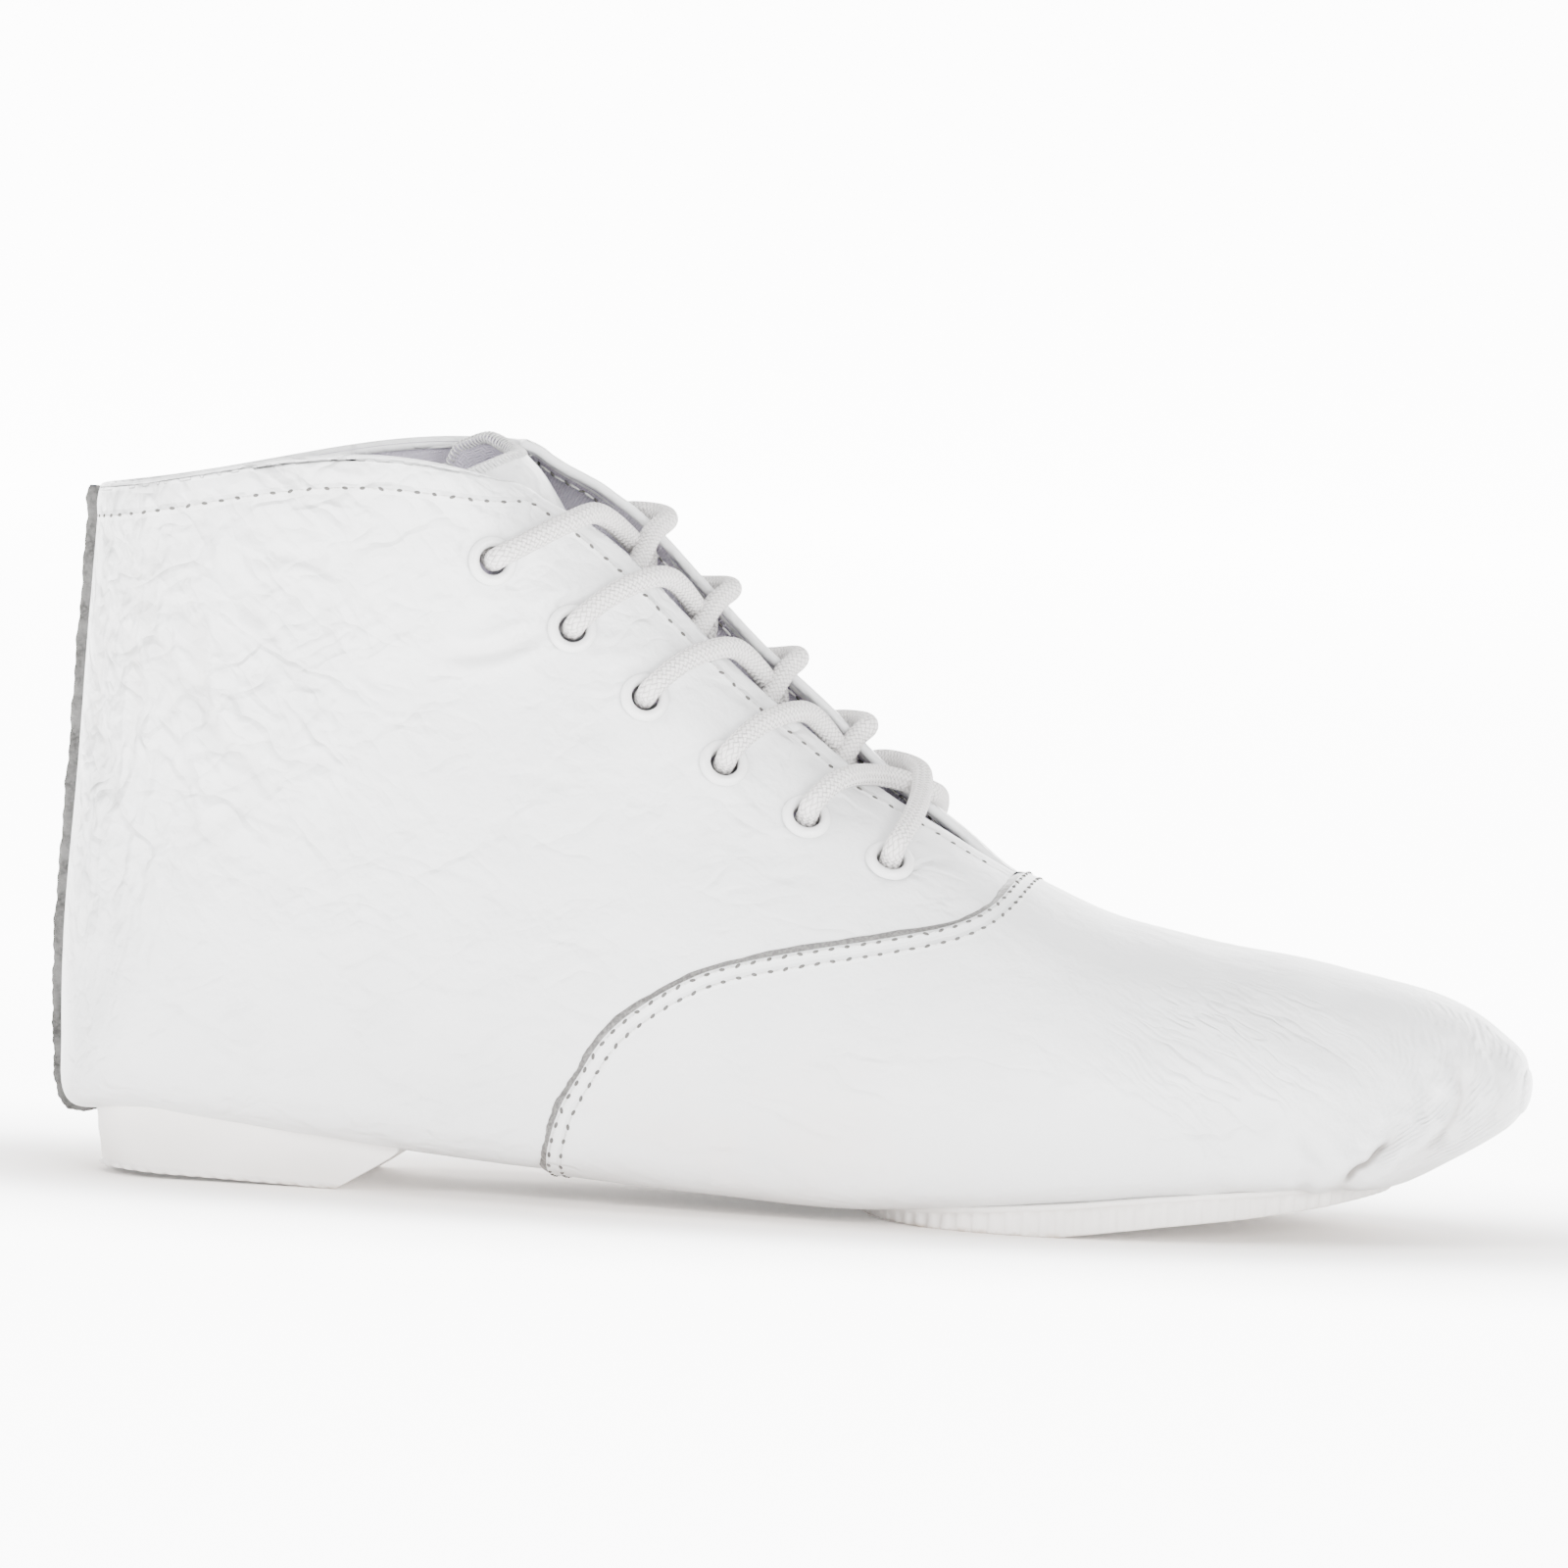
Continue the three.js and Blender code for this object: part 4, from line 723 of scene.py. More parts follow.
def white_leather(name, vamp=False):
    """Soft glazed white hide: fine pores, flowing creases, sunk seams, and painted shade in its creases and folds."""
    hide = Finish(name)
    place = hide.place()
    broad = hide.noise(place, 22, 3)
    patch = hide.noise(place, 55, 4, 0.6)
    x, y, z = (hide.node("ShaderNodeSeparateXYZ", {}, {"Vector": place}, out=i) for i in range(3))
    bent = hide.node(
        "ShaderNodeVectorMath", {"operation": "MULTIPLY_ADD"},
        {0: hide.noise(place, 60, 3, out=1), 1: (0.008, 0.008, 0.008), 2: place},
    )

    def lines(turn, along, across, thin):
        """Thin creases that run at an angle in the side view: where a stretched noise passes its middle."""
        turned = hide.node("ShaderNodeVectorRotate", {"rotation_type": "Y_AXIS"}, {"Vector": bent, "Angle": turn})
        return hide.noise(hide.stretched(turned, (along, across, across)), 1.0, 2).near(0.5, thin)

    if vamp:
        worn = x.near(0.095, 0.05) * z.near(0.014, 0.022) * patch.rises(0.35, 0.7)
        toe = x.rises(0.203, 0.213) * z.rises(0.010, 0.018)
        ripple = x + (z - 0.033) ** 2 * 55 + hide.noise(place, 160, 2) * 0.0025
        rings = toe * ((ripple * (2 * math.pi / 0.00125)).math("SINE") * 0.5 + 0.5) * hide.noise(place, 210, 2).rises(0.35, 0.6)
        slants = x.near(0.180, 0.03) * z.near(0.034, 0.02)
        sharp = lines(-0.62, 30, 260, 0.1) * slants.rises(0.05, 0.6) * 0.45 + rings * 0.5
        soft = lines(-0.15, 22, 95, 0.06) * hide.noise(place, 26, 2).rises(0.45, 0.65) * 0.7
    else:
        heel = (1 - x.rises(-0.022, -0.002)) * z.rises(0.02, 0.05)
        web = (1 - x.rises(0.0, 0.055)) * z.rises(0.035, 0.07)
        worn = x.near(-0.03, 0.02) * z.near(0.02, 0.03) * patch.rises(0.45, 0.8) * 0.5
        sharp = lines(1.45, 35, 190, 0.13) * heel * 0.9 + lines(-0.85, 45, 130, 0.1) * web * 0.9
        soft = (lines(0.5, 40, 120, 0.08) + lines(-0.35, 30, 110, 0.08)) * (web * 0.5 + patch.rises(0.40, 0.62) * 0.7)
    fold = hide.kept("fold")
    tone = hide.mixed(broad.rises(0.3, 0.7), (0.64, 0.645, 0.65), (0.69, 0.694, 0.698))
    tone = hide.mixed(worn * 0.7, tone, (0.70, 0.64, 0.61))
    # Painted shade: the creases are coloured grey where shade would fall in them, the folds darker, and the deepest
    # folds near black.
    tone = hide.mixed((sharp * 0.24 + soft * 0.12).clamped(), tone, (0.46, 0.455, 0.45))
    tone = hide.mixed(fold * 0.5, tone, (0.45, 0.42, 0.40))
    tone = hide.mixed(fold.rises(0.6, 0.95) * 0.85, tone, (0.10, 0.085, 0.075))
    grain = hide.noise(place, 900, 3, 0.6) * 0.075 + hide.cells(place, 1500) * 0.025
    swell = hide.noise(bent, 120, 3, 0.55) * 0.9 + hide.noise(bent, 42, 2) * 1.1 + hide.noise(bent, 330, 2) * 0.14
    height = grain + swell - sharp * 0.55 - soft * 0.34
    seam = hide.kept("seam_way")
    if vamp:
        height = height - (seam.near(1.8, 0.75) + seam.near(3.9, 0.75)) * 0.3
    else:
        height = height - (hide.kept("collar_way").near(5, 0.9) + hide.kept("facing_way").near(5, 0.9)) * 0.3
    return hide.shown(
        Base_Color=tone,
        Roughness=0.36 + 0.16 * patch,
        Coat_Weight=0.25,
        Coat_Roughness=0.35,
        Normal=hide.bumped(height),
    )


quarters.data.materials.append(white_leather("quarter_leather"))
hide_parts("upper")
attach(quarters, "root")

# The vamp
# One cut piece of the same leather lasted over the forefoot and the toe. Its raw edge lies on the quarters and
# is held by two rows of stitches; at the toe it is gathered into deep folds over the sole.
VAMP_ROWS = 300
edge_ways = [6.5, 5.2, 4.3, 3.4, 2.8, 2.3, 1.95, 1.7, 1.55, 1.4]
edge_places = np.array([seam_rows(d) for d in edge_ways])
for k in range(1, len(edge_places)):
    edge_places[k] = np.maximum(edge_places[k], edge_places[k - 1] + 0.02)
vamp_places = np.concatenate([column_rows(np.zeros(COLUMNS), seam_rows(8.0), VAMP_ROWS), edge_places])
vamp_columns = np.broadcast_to(np.arange(COLUMNS), vamp_places.shape)
way_here = read_net(seam_way, vamp_places, vamp_columns)
vamp_points, _ = on_leather(vamp_places, vamp_columns, VAMP_STEP - 0.12 * np.clip((1.65 - way_here) / 0.3, 0, 1))
# The cut itself: a grey slope from the hide's face down to the quarters, a little uneven along its run.
cut_lines = []
ragged = 0.30 * np.sin(np.arange(COLUMNS) * 0.31 + 2) + 0.16 * np.sin(np.arange(COLUMNS) * 0.9) + 0.12 * np.sin(np.arange(COLUMNS) * 2.3 + 1)
for height, way_in in ((0.74, 1.25), (0.5, 0.7), (0.2, 0.2), (-0.3, 0.0)):
    rows = seam_rows(way_in + ragged * (0.1 if way_in > 1 else 0.6))
    cut_lines.append(on_leather(np.maximum(rows, edge_places[-1] + 0.05), np.arange(COLUMNS), np.full(COLUMNS, height))[0])
vamp_all = np.concatenate([vamp_points, np.array(cut_lines)])
cut_edge = np.zeros(vamp_all.shape[:2])
cut_edge[-4:] = 1
vamp_kept = {
    "seam_way": np.concatenate([way_here, np.zeros((4, COLUMNS))]),
    "fold": np.concatenate([read_net(net_deep, vamp_places, vamp_columns), np.zeros((4, COLUMNS))]),
    "cut_edge": cut_edge,
}
vamp = made(
    "vamp", vamp_all.reshape(-1, 3), net_faces(*vamp_all.shape[:2]),
    kept={key: value.reshape(-1) for key, value in vamp_kept.items()},
)
vamp.data.materials.append(white_leather("vamp_leather", vamp=True))


def greyed_edge(leather):
    """Mixes the hide's grey split into the surface colour where the edge was cut."""
    tree = leather.node_tree
    hide = Finish.__new__(Finish)
    hide.material, hide.tree, hide.surface = leather, tree, tree.nodes["Principled BSDF"]
    white = Wire(hide, hide.surface.inputs["Base Color"].links[0].from_socket)
    speck = hide.noise(hide.place(), 1800, 2).rises(0.35, 0.65)
    grey = hide.mixed(speck, (0.055, 0.052, 0.049), (0.13, 0.124, 0.118))
    hide.put(hide.surface.inputs["Base Color"], hide.mixed(hide.kept("cut_edge").rises(0.3, 0.8), white, grey))


greyed_edge(vamp.data.materials[0])
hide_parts("upper")
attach(vamp, "root")

# The lining
# Plain white canvas glued inside the leather. Its colour is painted shade: darker and a little lilac, as it looks in
# the shade of the boot.
LINING_DEPTH = LEATHER + 0.15
lining_rows = np.concatenate([[0.5], column_rows(np.full(COLUMNS, 3.0), np.full(COLUMNS, len(net) - 1.0), 130)[:, HALF]])
lining_places, lining_columns = np.meshgrid(lining_rows, np.arange(0, COLUMNS, 2), indexing="ij")
lining_points, _ = on_leather(lining_places, lining_columns, -LINING_DEPTH)
lining_flat = lining_points.reshape(-1, 3)
lining = made(
    "lining", lining_flat, without_holes(lining_flat, net_faces(*lining_places.shape, turned=True), 3.8),
    uv=np.stack([read_net(column_way, lining_places, lining_columns), read_net(row_way, lining_places, lining_columns)], -1).reshape(-1, 2),
)


# The default colours are the white canvas in painted shade: darker and a little lilac.
def canvas(name, light=(0.60, 0.565, 0.64), dark=(0.36, 0.335, 0.42), pitch=0.55):
    """Plain weave on a piece's own lengths in millimetres."""
    cloth = Finish(name)
    way = cloth.node("ShaderNodeUVMap", {"uv_map": "way"})
    wobble = cloth.node(
        "ShaderNodeVectorMath", {"operation": "MULTIPLY_ADD"},
        {0: cloth.noise(way, 0.35, 2, out=1), 1: (0.5, 0.5, 0), 2: way},
    )
    u, v = (cloth.node("ShaderNodeSeparateXYZ", {}, {"Vector": wobble}, out=i) for i in range(2))
    warp = (u * (math.pi / pitch)).math("SINE").math("ABSOLUTE")
    weft = (v * (math.pi / pitch)).math("SINE").math("ABSOLUTE")
    over = ((u * (math.pi / pitch / 2)).math("SINE") * (v * (math.pi / pitch / 2)).math("SINE")).rises(-0.2, 0.2)
    height = warp * over + weft * (1 - over)
    slub = cloth.noise(way, 1.5, 2)
    # Painted shade: the hollows between the threads are coloured darker; the slub adds a random tone.
    return cloth.shown(
        Base_Color=cloth.mixed((height * 0.7 + slub * 0.3).clamped(), dark, light),
        Roughness=0.9 + 0.05 * slub,
        Normal=cloth.bumped(height * 0.12),
    )


lining.data.materials.append(canvas("lining_canvas_painted_shade"))
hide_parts("upper")
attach(lining, "root")

# The stitches
# White polyester thread: one row round the collar and the facings, two along the vamp's edge. Each stitch dips
# into its needle hole, and the holes show as small dark slants, coloured as painted shade.
STITCH_PITCH = 3.15
VAMP_PITCH = 2.75


def stitch_tree():
    """Geometry nodes that lay capsules of thread and the holes between them along a line of edges."""
    tree = bpy.data.node_groups.new("sewn_row", "GeometryNodeTree")
    sides = tree.interface
    sides.new_socket("Line", in_out="INPUT", socket_type="NodeSocketGeometry")
    for name, value in (("Pitch", 0.003), ("Thread Length", 0.0024), ("Thread Radius", 0.0003), ("Hole Length", 0.0009), ("Hole Radius", 0.0003)):
        sides.new_socket(name, in_out="INPUT", socket_type="NodeSocketFloat").default_value = value
    for name in ("Thread", "Hole"):
        sides.new_socket(name, in_out="INPUT", socket_type="NodeSocketMaterial")
    sides.new_socket("Sewn", in_out="OUTPUT", socket_type="NodeSocketGeometry")
    nodes, links = tree.nodes, tree.links

    def put(kind, inputs=None, **settings):
        made_node = nodes.new(kind)
        for key, value in settings.items():
            setattr(made_node, key, value)
        for key, value in (inputs or {}).items():
            if hasattr(value, "is_output"):
                links.new(value, made_node.inputs[key])
            else:
                made_node.inputs[key].default_value = value
        return made_node

    given = put("NodeGroupInput").outputs
    line = put("GeometryNodeMeshToCurve", {"Mesh": given["Line"]}).outputs["Curve"]
    halves = put("ShaderNodeMath", {0: given["Pitch"], 1: 0.5}, operation="MULTIPLY").outputs[0]
    fine = put("GeometryNodeResampleCurve", {"Curve": line, "Length": halves}, mode="LENGTH").outputs["Curve"]
    index = put("GeometryNodeInputIndex").outputs[0]
    odd = put("ShaderNodeMath", {0: index, 1: 2.0}, operation="MODULO").outputs[0]
    is_odd = put("FunctionNodeCompare", {"A": odd, "B": 0.5}, operation="GREATER_THAN").outputs[0]
    points = put("GeometryNodeCurveToPoints", {"Curve": fine}, mode="EVALUATED").outputs
    parts = []
    for long, thick, chosen, skin, tilt in (
        (given["Thread Length"], given["Thread Radius"], is_odd, given["Thread"], 0.05),
        (given["Hole Length"], given["Hole Radius"], put("FunctionNodeBooleanMath", {0: is_odd}, operation="NOT").outputs[0], given["Hole"], 0.5),
    ):
        ball = put("GeometryNodeMeshUVSphere", {"Segments": 8, "Rings": 6, "Radius": 0.5}).outputs["Mesh"]
        twice = put("ShaderNodeMath", {0: thick, 1: 2.0}, operation="MULTIPLY").outputs[0]
        size = put("ShaderNodeCombineXYZ", {"X": twice, "Y": twice, "Z": long}).outputs[0]
        shape = put("GeometryNodeTransform", {"Geometry": ball, "Scale": size}).outputs[0]
        facing = put("FunctionNodeAlignRotationToVector", {"Vector": points["Tangent"]}, axis="Z").outputs[0]
        wander = put("FunctionNodeRandomValue", {0: (-tilt, -tilt, -tilt), 1: (tilt, tilt, tilt), "Seed": 3}, data_type="FLOAT_VECTOR").outputs[0]
        turned = put("FunctionNodeRotateRotation", {"Rotation": facing, "Rotate By": put("FunctionNodeEulerToRotation", {0: wander}).outputs[0]}).outputs[0]
        copies = put(
            "GeometryNodeInstanceOnPoints",
            {"Points": points["Points"], "Selection": chosen, "Instance": shape, "Rotation": turned},
        ).outputs[0]
        real = put("GeometryNodeRealizeInstances", {"Geometry": copies}).outputs[0]
        parts.append(put("GeometryNodeSetMaterial", {"Geometry": real, "Material": skin}).outputs[0])
    joined = put("GeometryNodeJoinGeometry")
    for part in parts:
        links.new(part, joined.inputs[0])
    links.new(joined.outputs[0], put("NodeGroupOutput").inputs[0])
    return tree


thread = Finish("stitch_thread")
thread_twist = thread.noise(thread.place(), 1600, 2)
thread.shown(
    Base_Color=thread.mixed(thread_twist.rises(0.3, 0.7), (0.44, 0.435, 0.43), (0.62, 0.615, 0.61)),
    Roughness=0.7 + 0.1 * thread_twist, Normal=thread.bumped(thread_twist * 0.05),
)
# Painted shade: each needle hole is a small dark capsule on the leather, coloured as the shade inside the hole.
needle_hole_painted_shade = Finish("needle_hole_painted_shade")
pit = needle_hole_painted_shade.noise(needle_hole_painted_shade.place(), 700, 2)
needle_hole_painted_shade.shown(Base_Color=needle_hole_painted_shade.mixed(pit, (0.045, 0.043, 0.04), (0.12, 0.115, 0.11)), Roughness=0.9 + 0.05 * pit)
sewn_row = stitch_tree()


def evaluated_mesh(piece, name):
    """The piece's modifiers, worked out into a plain mesh."""
    bpy.context.view_layer.update()
    graph = bpy.context.evaluated_depsgraph_get()
    mesh = bpy.data.meshes.new_from_object(piece.evaluated_get(graph))
    mesh.name = name
    piece.modifiers.clear()
    old = piece.data
    piece.data = mesh
    bpy.data.meshes.remove(old)
    return piece


def sewn(name, lines, sizes):
    """One piece of stitches along lines of points in millimetres."""
    mesh = bpy.data.meshes.new(name + "_line")
    points, edges = [], []
    for line in lines:
        edges += [(len(points) + i, len(points) + i + 1) for i in range(len(line) - 1)]
        points += metres(line).tolist()
    mesh.from_pydata(points, edges, [])
    piece = bpy.data.objects.new(name, mesh)
    bpy.context.collection.objects.link(piece)
    rows = piece.modifiers.new("rows", "NODES")
    rows.node_group = sewn_row
    slots = {item.name: item.identifier for item in sewn_row.interface.items_tree if item.item_type == "SOCKET"}
    for key, value in {**sizes, "Thread": thread.material, "Hole": needle_hole_painted_shade.material}.items():
        rows[slots[key]] = value
    evaluated_mesh(piece, name)
    piece.data.polygons.foreach_set("use_smooth", [True] * len(piece.data.polygons))
    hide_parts("upper")
    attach(piece, "root")
    return piece


def line_at(distance, height):
    """The sewing line inside the collar's and the facings' edges."""
    rows = np.arange(len(net) - 1, net_row(THROAT + 0.45), -1.0)
    sides = []
    for side in (-1, 1):
        line = []
        for row in rows:
            ways = read_net(column_way, row, np.arange(COLUMNS))
            column = np.interp(distance if side < 0 else ways[-1] - distance, ways, np.arange(COLUMNS))
            if read_net(collar_way, row, column) >= distance:
                line.append(on_leather(row, column, height)[0])
        sides.append(line)
    top = []
    for column in np.arange(0, COLUMNS, 1.0):
        row = np.interp(-distance, -collar_way[:, int(column)], np.arange(len(net)))
        if read_net(facing_way, row, column) >= distance:
            top.append(on_leather(row, column, height)[0])
    return np.array(sides[0][::-1] + top + sides[1])


collar_sizes = {"Pitch": STITCH_PITCH / 1000, "Thread Length": 0.00225, "Thread Radius": 0.00022, "Hole Length": 0.00125, "Hole Radius": 0.00034}
sewn("collar_stitches", [line_at(5.0, -0.1)], collar_sizes)
sewn("inner_stitches", [line_at(4.1, -2.25)], {**collar_sizes, "Hole Radius": 0.00022})
upward = [j for j in range(100, -1, -1)] + [j for j in range(COLUMNS - 1, COLUMNS - 101, -1)]
vamp_lines = []
for distance in (1.8, 3.9):
    rows = seam_rows(distance)
    vamp_lines.append(on_leather(rows[upward], np.array(upward), np.full(len(upward), VAMP_STEP - 0.08))[0])
vamp_sizes = {"Pitch": VAMP_PITCH / 1000, "Thread Length": 0.0020, "Thread Radius": 0.00023, "Hole Length": 0.00125, "Hole Radius": 0.00034}
sewn("vamp_stitches", vamp_lines, vamp_sizes)

# The back seam
# The two quarters are sewn edge to edge and turned outwards, so that their raw grey edges stand up the back of
# the boot as a thin wavy fin.
FIN_RISE = 2.5
FIN_HALF = 0.9
FIN_STEPS = 420
fin_t = np.linspace(14.5, COLLAR, FIN_STEPS + 1)
fin_rows = net_row(fin_t)
fin_at, fin_out = on_leather(fin_rows, HALF)
fin_out[:, 1] = 0
fin_out /= np.linalg.norm(fin_out, axis=1, keepdims=True)
run = np.linspace(0, 1, FIN_STEPS + 1)
grow = 0.35 + 0.65 * np.clip(run * 12, 0, 1)
wave = 0.10 * np.sin(run * 71 + 1) + 0.08 * np.sin(run * 148 + 2) + 0.06 * np.sin(run * 331)
sway = 0.25 * np.sin(run * 38) + 0.12 * np.sin(run * 93 + 1)
fin_points = []
for across_by, rise, follow in (
    (-1.05, -0.35, 0), (-0.95, 0.1, 0.3), (-0.85, 0.75, 0.8), (-0.55, 0.98, 1), (-0.12, 0.84, 1), (0.0, 0.72, 1),
    (0.12, 0.84, 1), (0.55, 1.0, 1), (0.85, 0.75, 0.8), (0.95, 0.1, 0.3), (1.05, -0.35, 0),
):
    points = fin_at + fin_out * (FIN_RISE * rise * grow + wave * follow * grow)[:, None]
    points[:, 1] += across_by * FIN_HALF + sway * follow * grow
    fin_points.append(points)
fin_points = np.array(fin_points)
fin = made("back_seam", fin_points.reshape(-1, 3), net_faces(*fin_points.shape[:2]))
split = Finish("raw_split")
speck = split.noise(split.place(), 1500, 3).rises(0.3, 0.7)
blotch = split.noise(split.place(), 260, 2).rises(0.35, 0.7)
split.shown(
    Base_Color=split.mixed(blotch, split.mixed(speck, (0.028, 0.027, 0.026), (0.085, 0.083, 0.08)), (0.11, 0.108, 0.105)),
    Roughness=0.9 + 0.05 * speck,
    Normal=split.bumped(speck * 0.12 + blotch * 0.1),
)
fin.data.materials.append(split.material)
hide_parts("upper")
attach(fin, "root")

# The tongue
# A leather tongue lined with canvas, sewn in under the vamp's point. Its top edge is overlocked and stands a
# little over the collar.
TONGUE_THICKNESS = 2.0
TONGUE_ROWS = 150
TONGUE_COLUMNS = 44
# Rows: place in sections from the throat, depth of the middle and of the sides in leather walls, half width as
# a share of the ankle width, reach over the section as a share of the medial rise.
tongue_table = np.array([
    [-1.6, 1.25, 1.25, 0.3, 0], [-1, 1.3, 1.3, 0.32, 0], [-0.4, 1.6, 1.6, 0.34, 0], [0.2, 2.1, 2.1, 0.36, 0],
    [1, 3.3, 3.3, 0.38, 0], [2, 4, 4, 0.39, 0], [3, 4, 4, 0.39, 0], [4, 4, 4, 0.38, 0], [5, 4, 4, 0.37, 0],
    [6.5, 4, 4, 0.36, 0], [9, 3.3, 3.7, 0.33, 0], [11.3, 1.2, 2.4, 0.3, 0], [13, 0.5, 1.5, 0.27, 0.3],
])


def under_lacing(t, y, depth):
    """Points under the leather over the gap, as if each section were closed: t (n,), y and depth (n, m)."""
    s = section_at(t)
    blend_by = np.clip((y + 0.2 * ANKLE_WIDTH) / (0.4 * ANKLE_WIDTH), 0, 1)
    blend_by = blend_by**2 * (3 - 2 * blend_by)

    def at(across_by):
        width = np.where(across_by < 0, s[:, LATERAL, None], s[:, MEDIAL, None])
        share = np.minimum(np.abs(across_by) / width, 0.98)
        dome = s[:, DOME, None]
        height = s[:, WIDEST, None] + (1 - s[:, WIDEST, None]) * (1 - share**dome) ** (1 / dome)
        low = on_section(s, -1, height, s[:, SWING, None] + across_by)
        high = on_section(s, 1, height, s[:, SWING, None] + across_by)
        return low + (high - low) * blend_by[..., None]

    axis = np.stack([s[:, CREST_X] - s[:, UNDER_X], 0 * s[:, CREST_X], s[:, CREST_Z] - s[:, UNDER_Z]], -1)
    axis = (axis / np.linalg.norm(axis, axis=1, keepdims=True))[:, None]
    run = at(y + 0.5) - at(y - 0.5)
    down = axis - run * ((axis * run).sum(-1) / (run * run).sum(-1))[..., None]
    down /= np.linalg.norm(down, axis=-1, keepdims=True)
    return at(y) - down * depth[..., None]


tongue_places = np.linspace(0, len(tongue_table) - 1, TONGUE_ROWS + 1)
row_values = through(tongue_table, tongue_places)
aside = np.linspace(-1, 1, TONGUE_COLUMNS + 1)[None]
tongue_t = THROAT + row_values[:, 0]
tongue_y = aside * row_values[:, 3, None] * ANKLE_WIDTH
tongue_depth = (row_values[:, 1, None] + (row_values[:, 2] - row_values[:, 1])[:, None] * aside**2) * LEATHER
tongue_sections = section_at(tongue_t)
lift = np.stack([tongue_sections[:, UNDER_Z] - tongue_sections[:, CREST_Z], 0 * tongue_t, tongue_sections[:, CREST_X] - tongue_sections[:, UNDER_X]], -1)
lift *= (row_values[:, 4] * MEDIAL_RISE / np.linalg.norm(lift, axis=1))[:, None]
# The cut top in place (y, x, z): straight up from the outer corner to the crown, then round the far side. The
# leather under it hangs straight down along the opening.
tongue_top = np.array([
    [-19, 67, 124.4], [-14, 71.5, 126.8], [-9.9, 74.2, 128.2], [-5, 76.2, 129.3], [0, 76.9, 129.7], [5, 76, 130],
    [9.9, 73.2, 130.9], [14, 69.5, 132], [17.5, 65.6, 130.7], [19, 63.2, 129.4], [20.5, 61.6, 126.5],
])
TONGUE_FALL = np.array([0.71, 0, -0.704])
top_places = np.interp(aside[0], np.linspace(-1, 1, len(tongue_top)), np.arange(len(tongue_top)))
top_line = through(tongue_top, top_places)[:, [1, 0, 2]]
top_share = np.clip((tongue_places - 9.3) / 2, 0, 1)
top_share = (top_share**2 * (3 - 2 * top_share))[:, None, None]
tongue_faces = []
soft_wave = 0.25 * np.sin(tongue_places[:, None] * 2.3 + aside * 2) + 0.15 * np.sin(tongue_places[:, None] * 5.1 - aside * 3)
for extra_depth in (0.12, TONGUE_THICKNESS - 0.12):
    tongue_faces.append(under_lacing(tongue_t, tongue_y, tongue_depth + extra_depth) + lift[:, None])
middle = tongue_faces[0][:, TONGUE_COLUMNS // 2]
fallen = (middle - top_line[TONGUE_COLUMNS // 2]) @ TONGUE_FALL
fallen = np.clip(fallen - fallen[-1], 0, None)
hung = top_line[None] + fallen[:, None, None] * TONGUE_FALL
across = np.gradient(top_line, axis=0)
face_out = np.cross(TONGUE_FALL, across)
face_out /= np.linalg.norm(face_out, axis=1, keepdims=True)
for k, extra_depth in enumerate((0, TONGUE_THICKNESS)):
    tongue_faces[k] = tongue_faces[k] * (1 - top_share) + (hung - face_out * extra_depth) * top_share
outer, inner = tongue_faces
outward = outer - inner
outward /= np.linalg.norm(outward, axis=2, keepdims=True)
outer += outward * soft_wave[..., None] * 0.5
side_mid = 0.5 * (outer + inner)
tongue_leather = made(
    "tongue", np.concatenate([outer.reshape(-1, 3), side_mid.reshape(-1, 3)]),
    np.concatenate([
        net_faces(*outer.shape[:2]),
        [(r * (TONGUE_COLUMNS + 1), (r + 1) * (TONGUE_COLUMNS + 1),
          outer.size // 3 + (r + 1) * (TONGUE_COLUMNS + 1), outer.size // 3 + r * (TONGUE_COLUMNS + 1)) for r in range(TONGUE_ROWS)],
        [((r + 1) * (TONGUE_COLUMNS + 1) - 1 + TONGUE_COLUMNS + 1, (r + 1) * (TONGUE_COLUMNS + 1) - 1,
          outer.size // 3 + (r + 1) * (TONGUE_COLUMNS + 1) - 1, outer.size // 3 + (r + 2) * (TONGUE_COLUMNS + 1) - 1) for r in range(TONGUE_ROWS)],
        [(TONGUE_ROWS * (TONGUE_COLUMNS + 1) + c, TONGUE_ROWS * (TONGUE_COLUMNS + 1) + c + 1,
          outer.size // 3 + TONGUE_ROWS * (TONGUE_COLUMNS + 1) + c + 1, outer.size // 3 + TONGUE_ROWS * (TONGUE_COLUMNS + 1) + c) for c in range(TONGUE_COLUMNS)],
    ]),
    kept={"collar_way": np.full(outer.size // 3 * 2, 20.0), "facing_way": np.full(outer.size // 3 * 2, 20.0)},
)
tongue_leather.data.materials.append(white_leather("tongue_leather"))
length_way = np.concatenate([[0], np.cumsum(np.linalg.norm(np.diff(inner[:, TONGUE_COLUMNS // 2], axis=0), axis=1))])
both = np.concatenate([inner.reshape(-1, 3), side_mid.reshape(-1, 3)])
n = inner.size // 3
w = TONGUE_COLUMNS + 1
inner_uv = np.stack([tongue_y, np.broadcast_to(length_way[:, None], tongue_y.shape)], -1).reshape(-1, 2)
tongue_canvas_painted_shade = made(
    "tongue_lining", both,
    np.concatenate([
        net_faces(*inner.shape[:2], turned=True),
        [(r * w, n + r * w, n + (r + 1) * w, (r + 1) * w) for r in range(TONGUE_ROWS)],
        [((r + 1) * w - 1, (r + 2) * w - 1, n + (r + 2) * w - 1, n + (r + 1) * w - 1) for r in range(TONGUE_ROWS)],
        [(TONGUE_ROWS * w + c, n + TONGUE_ROWS * w + c, n + TONGUE_ROWS * w + c + 1, TONGUE_ROWS * w + c + 1) for c in range(TONGUE_COLUMNS)],
    ]),
    uv=np.concatenate([inner_uv, inner_uv]),
)
tongue_canvas_painted_shade.data.materials.append(canvas("tongue_canvas_painted_shade"))
for piece, finish in ((tongue_leather, "leather"), (tongue_canvas_painted_shade, "lining")):
    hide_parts("tongue")
    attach(piece, "root")

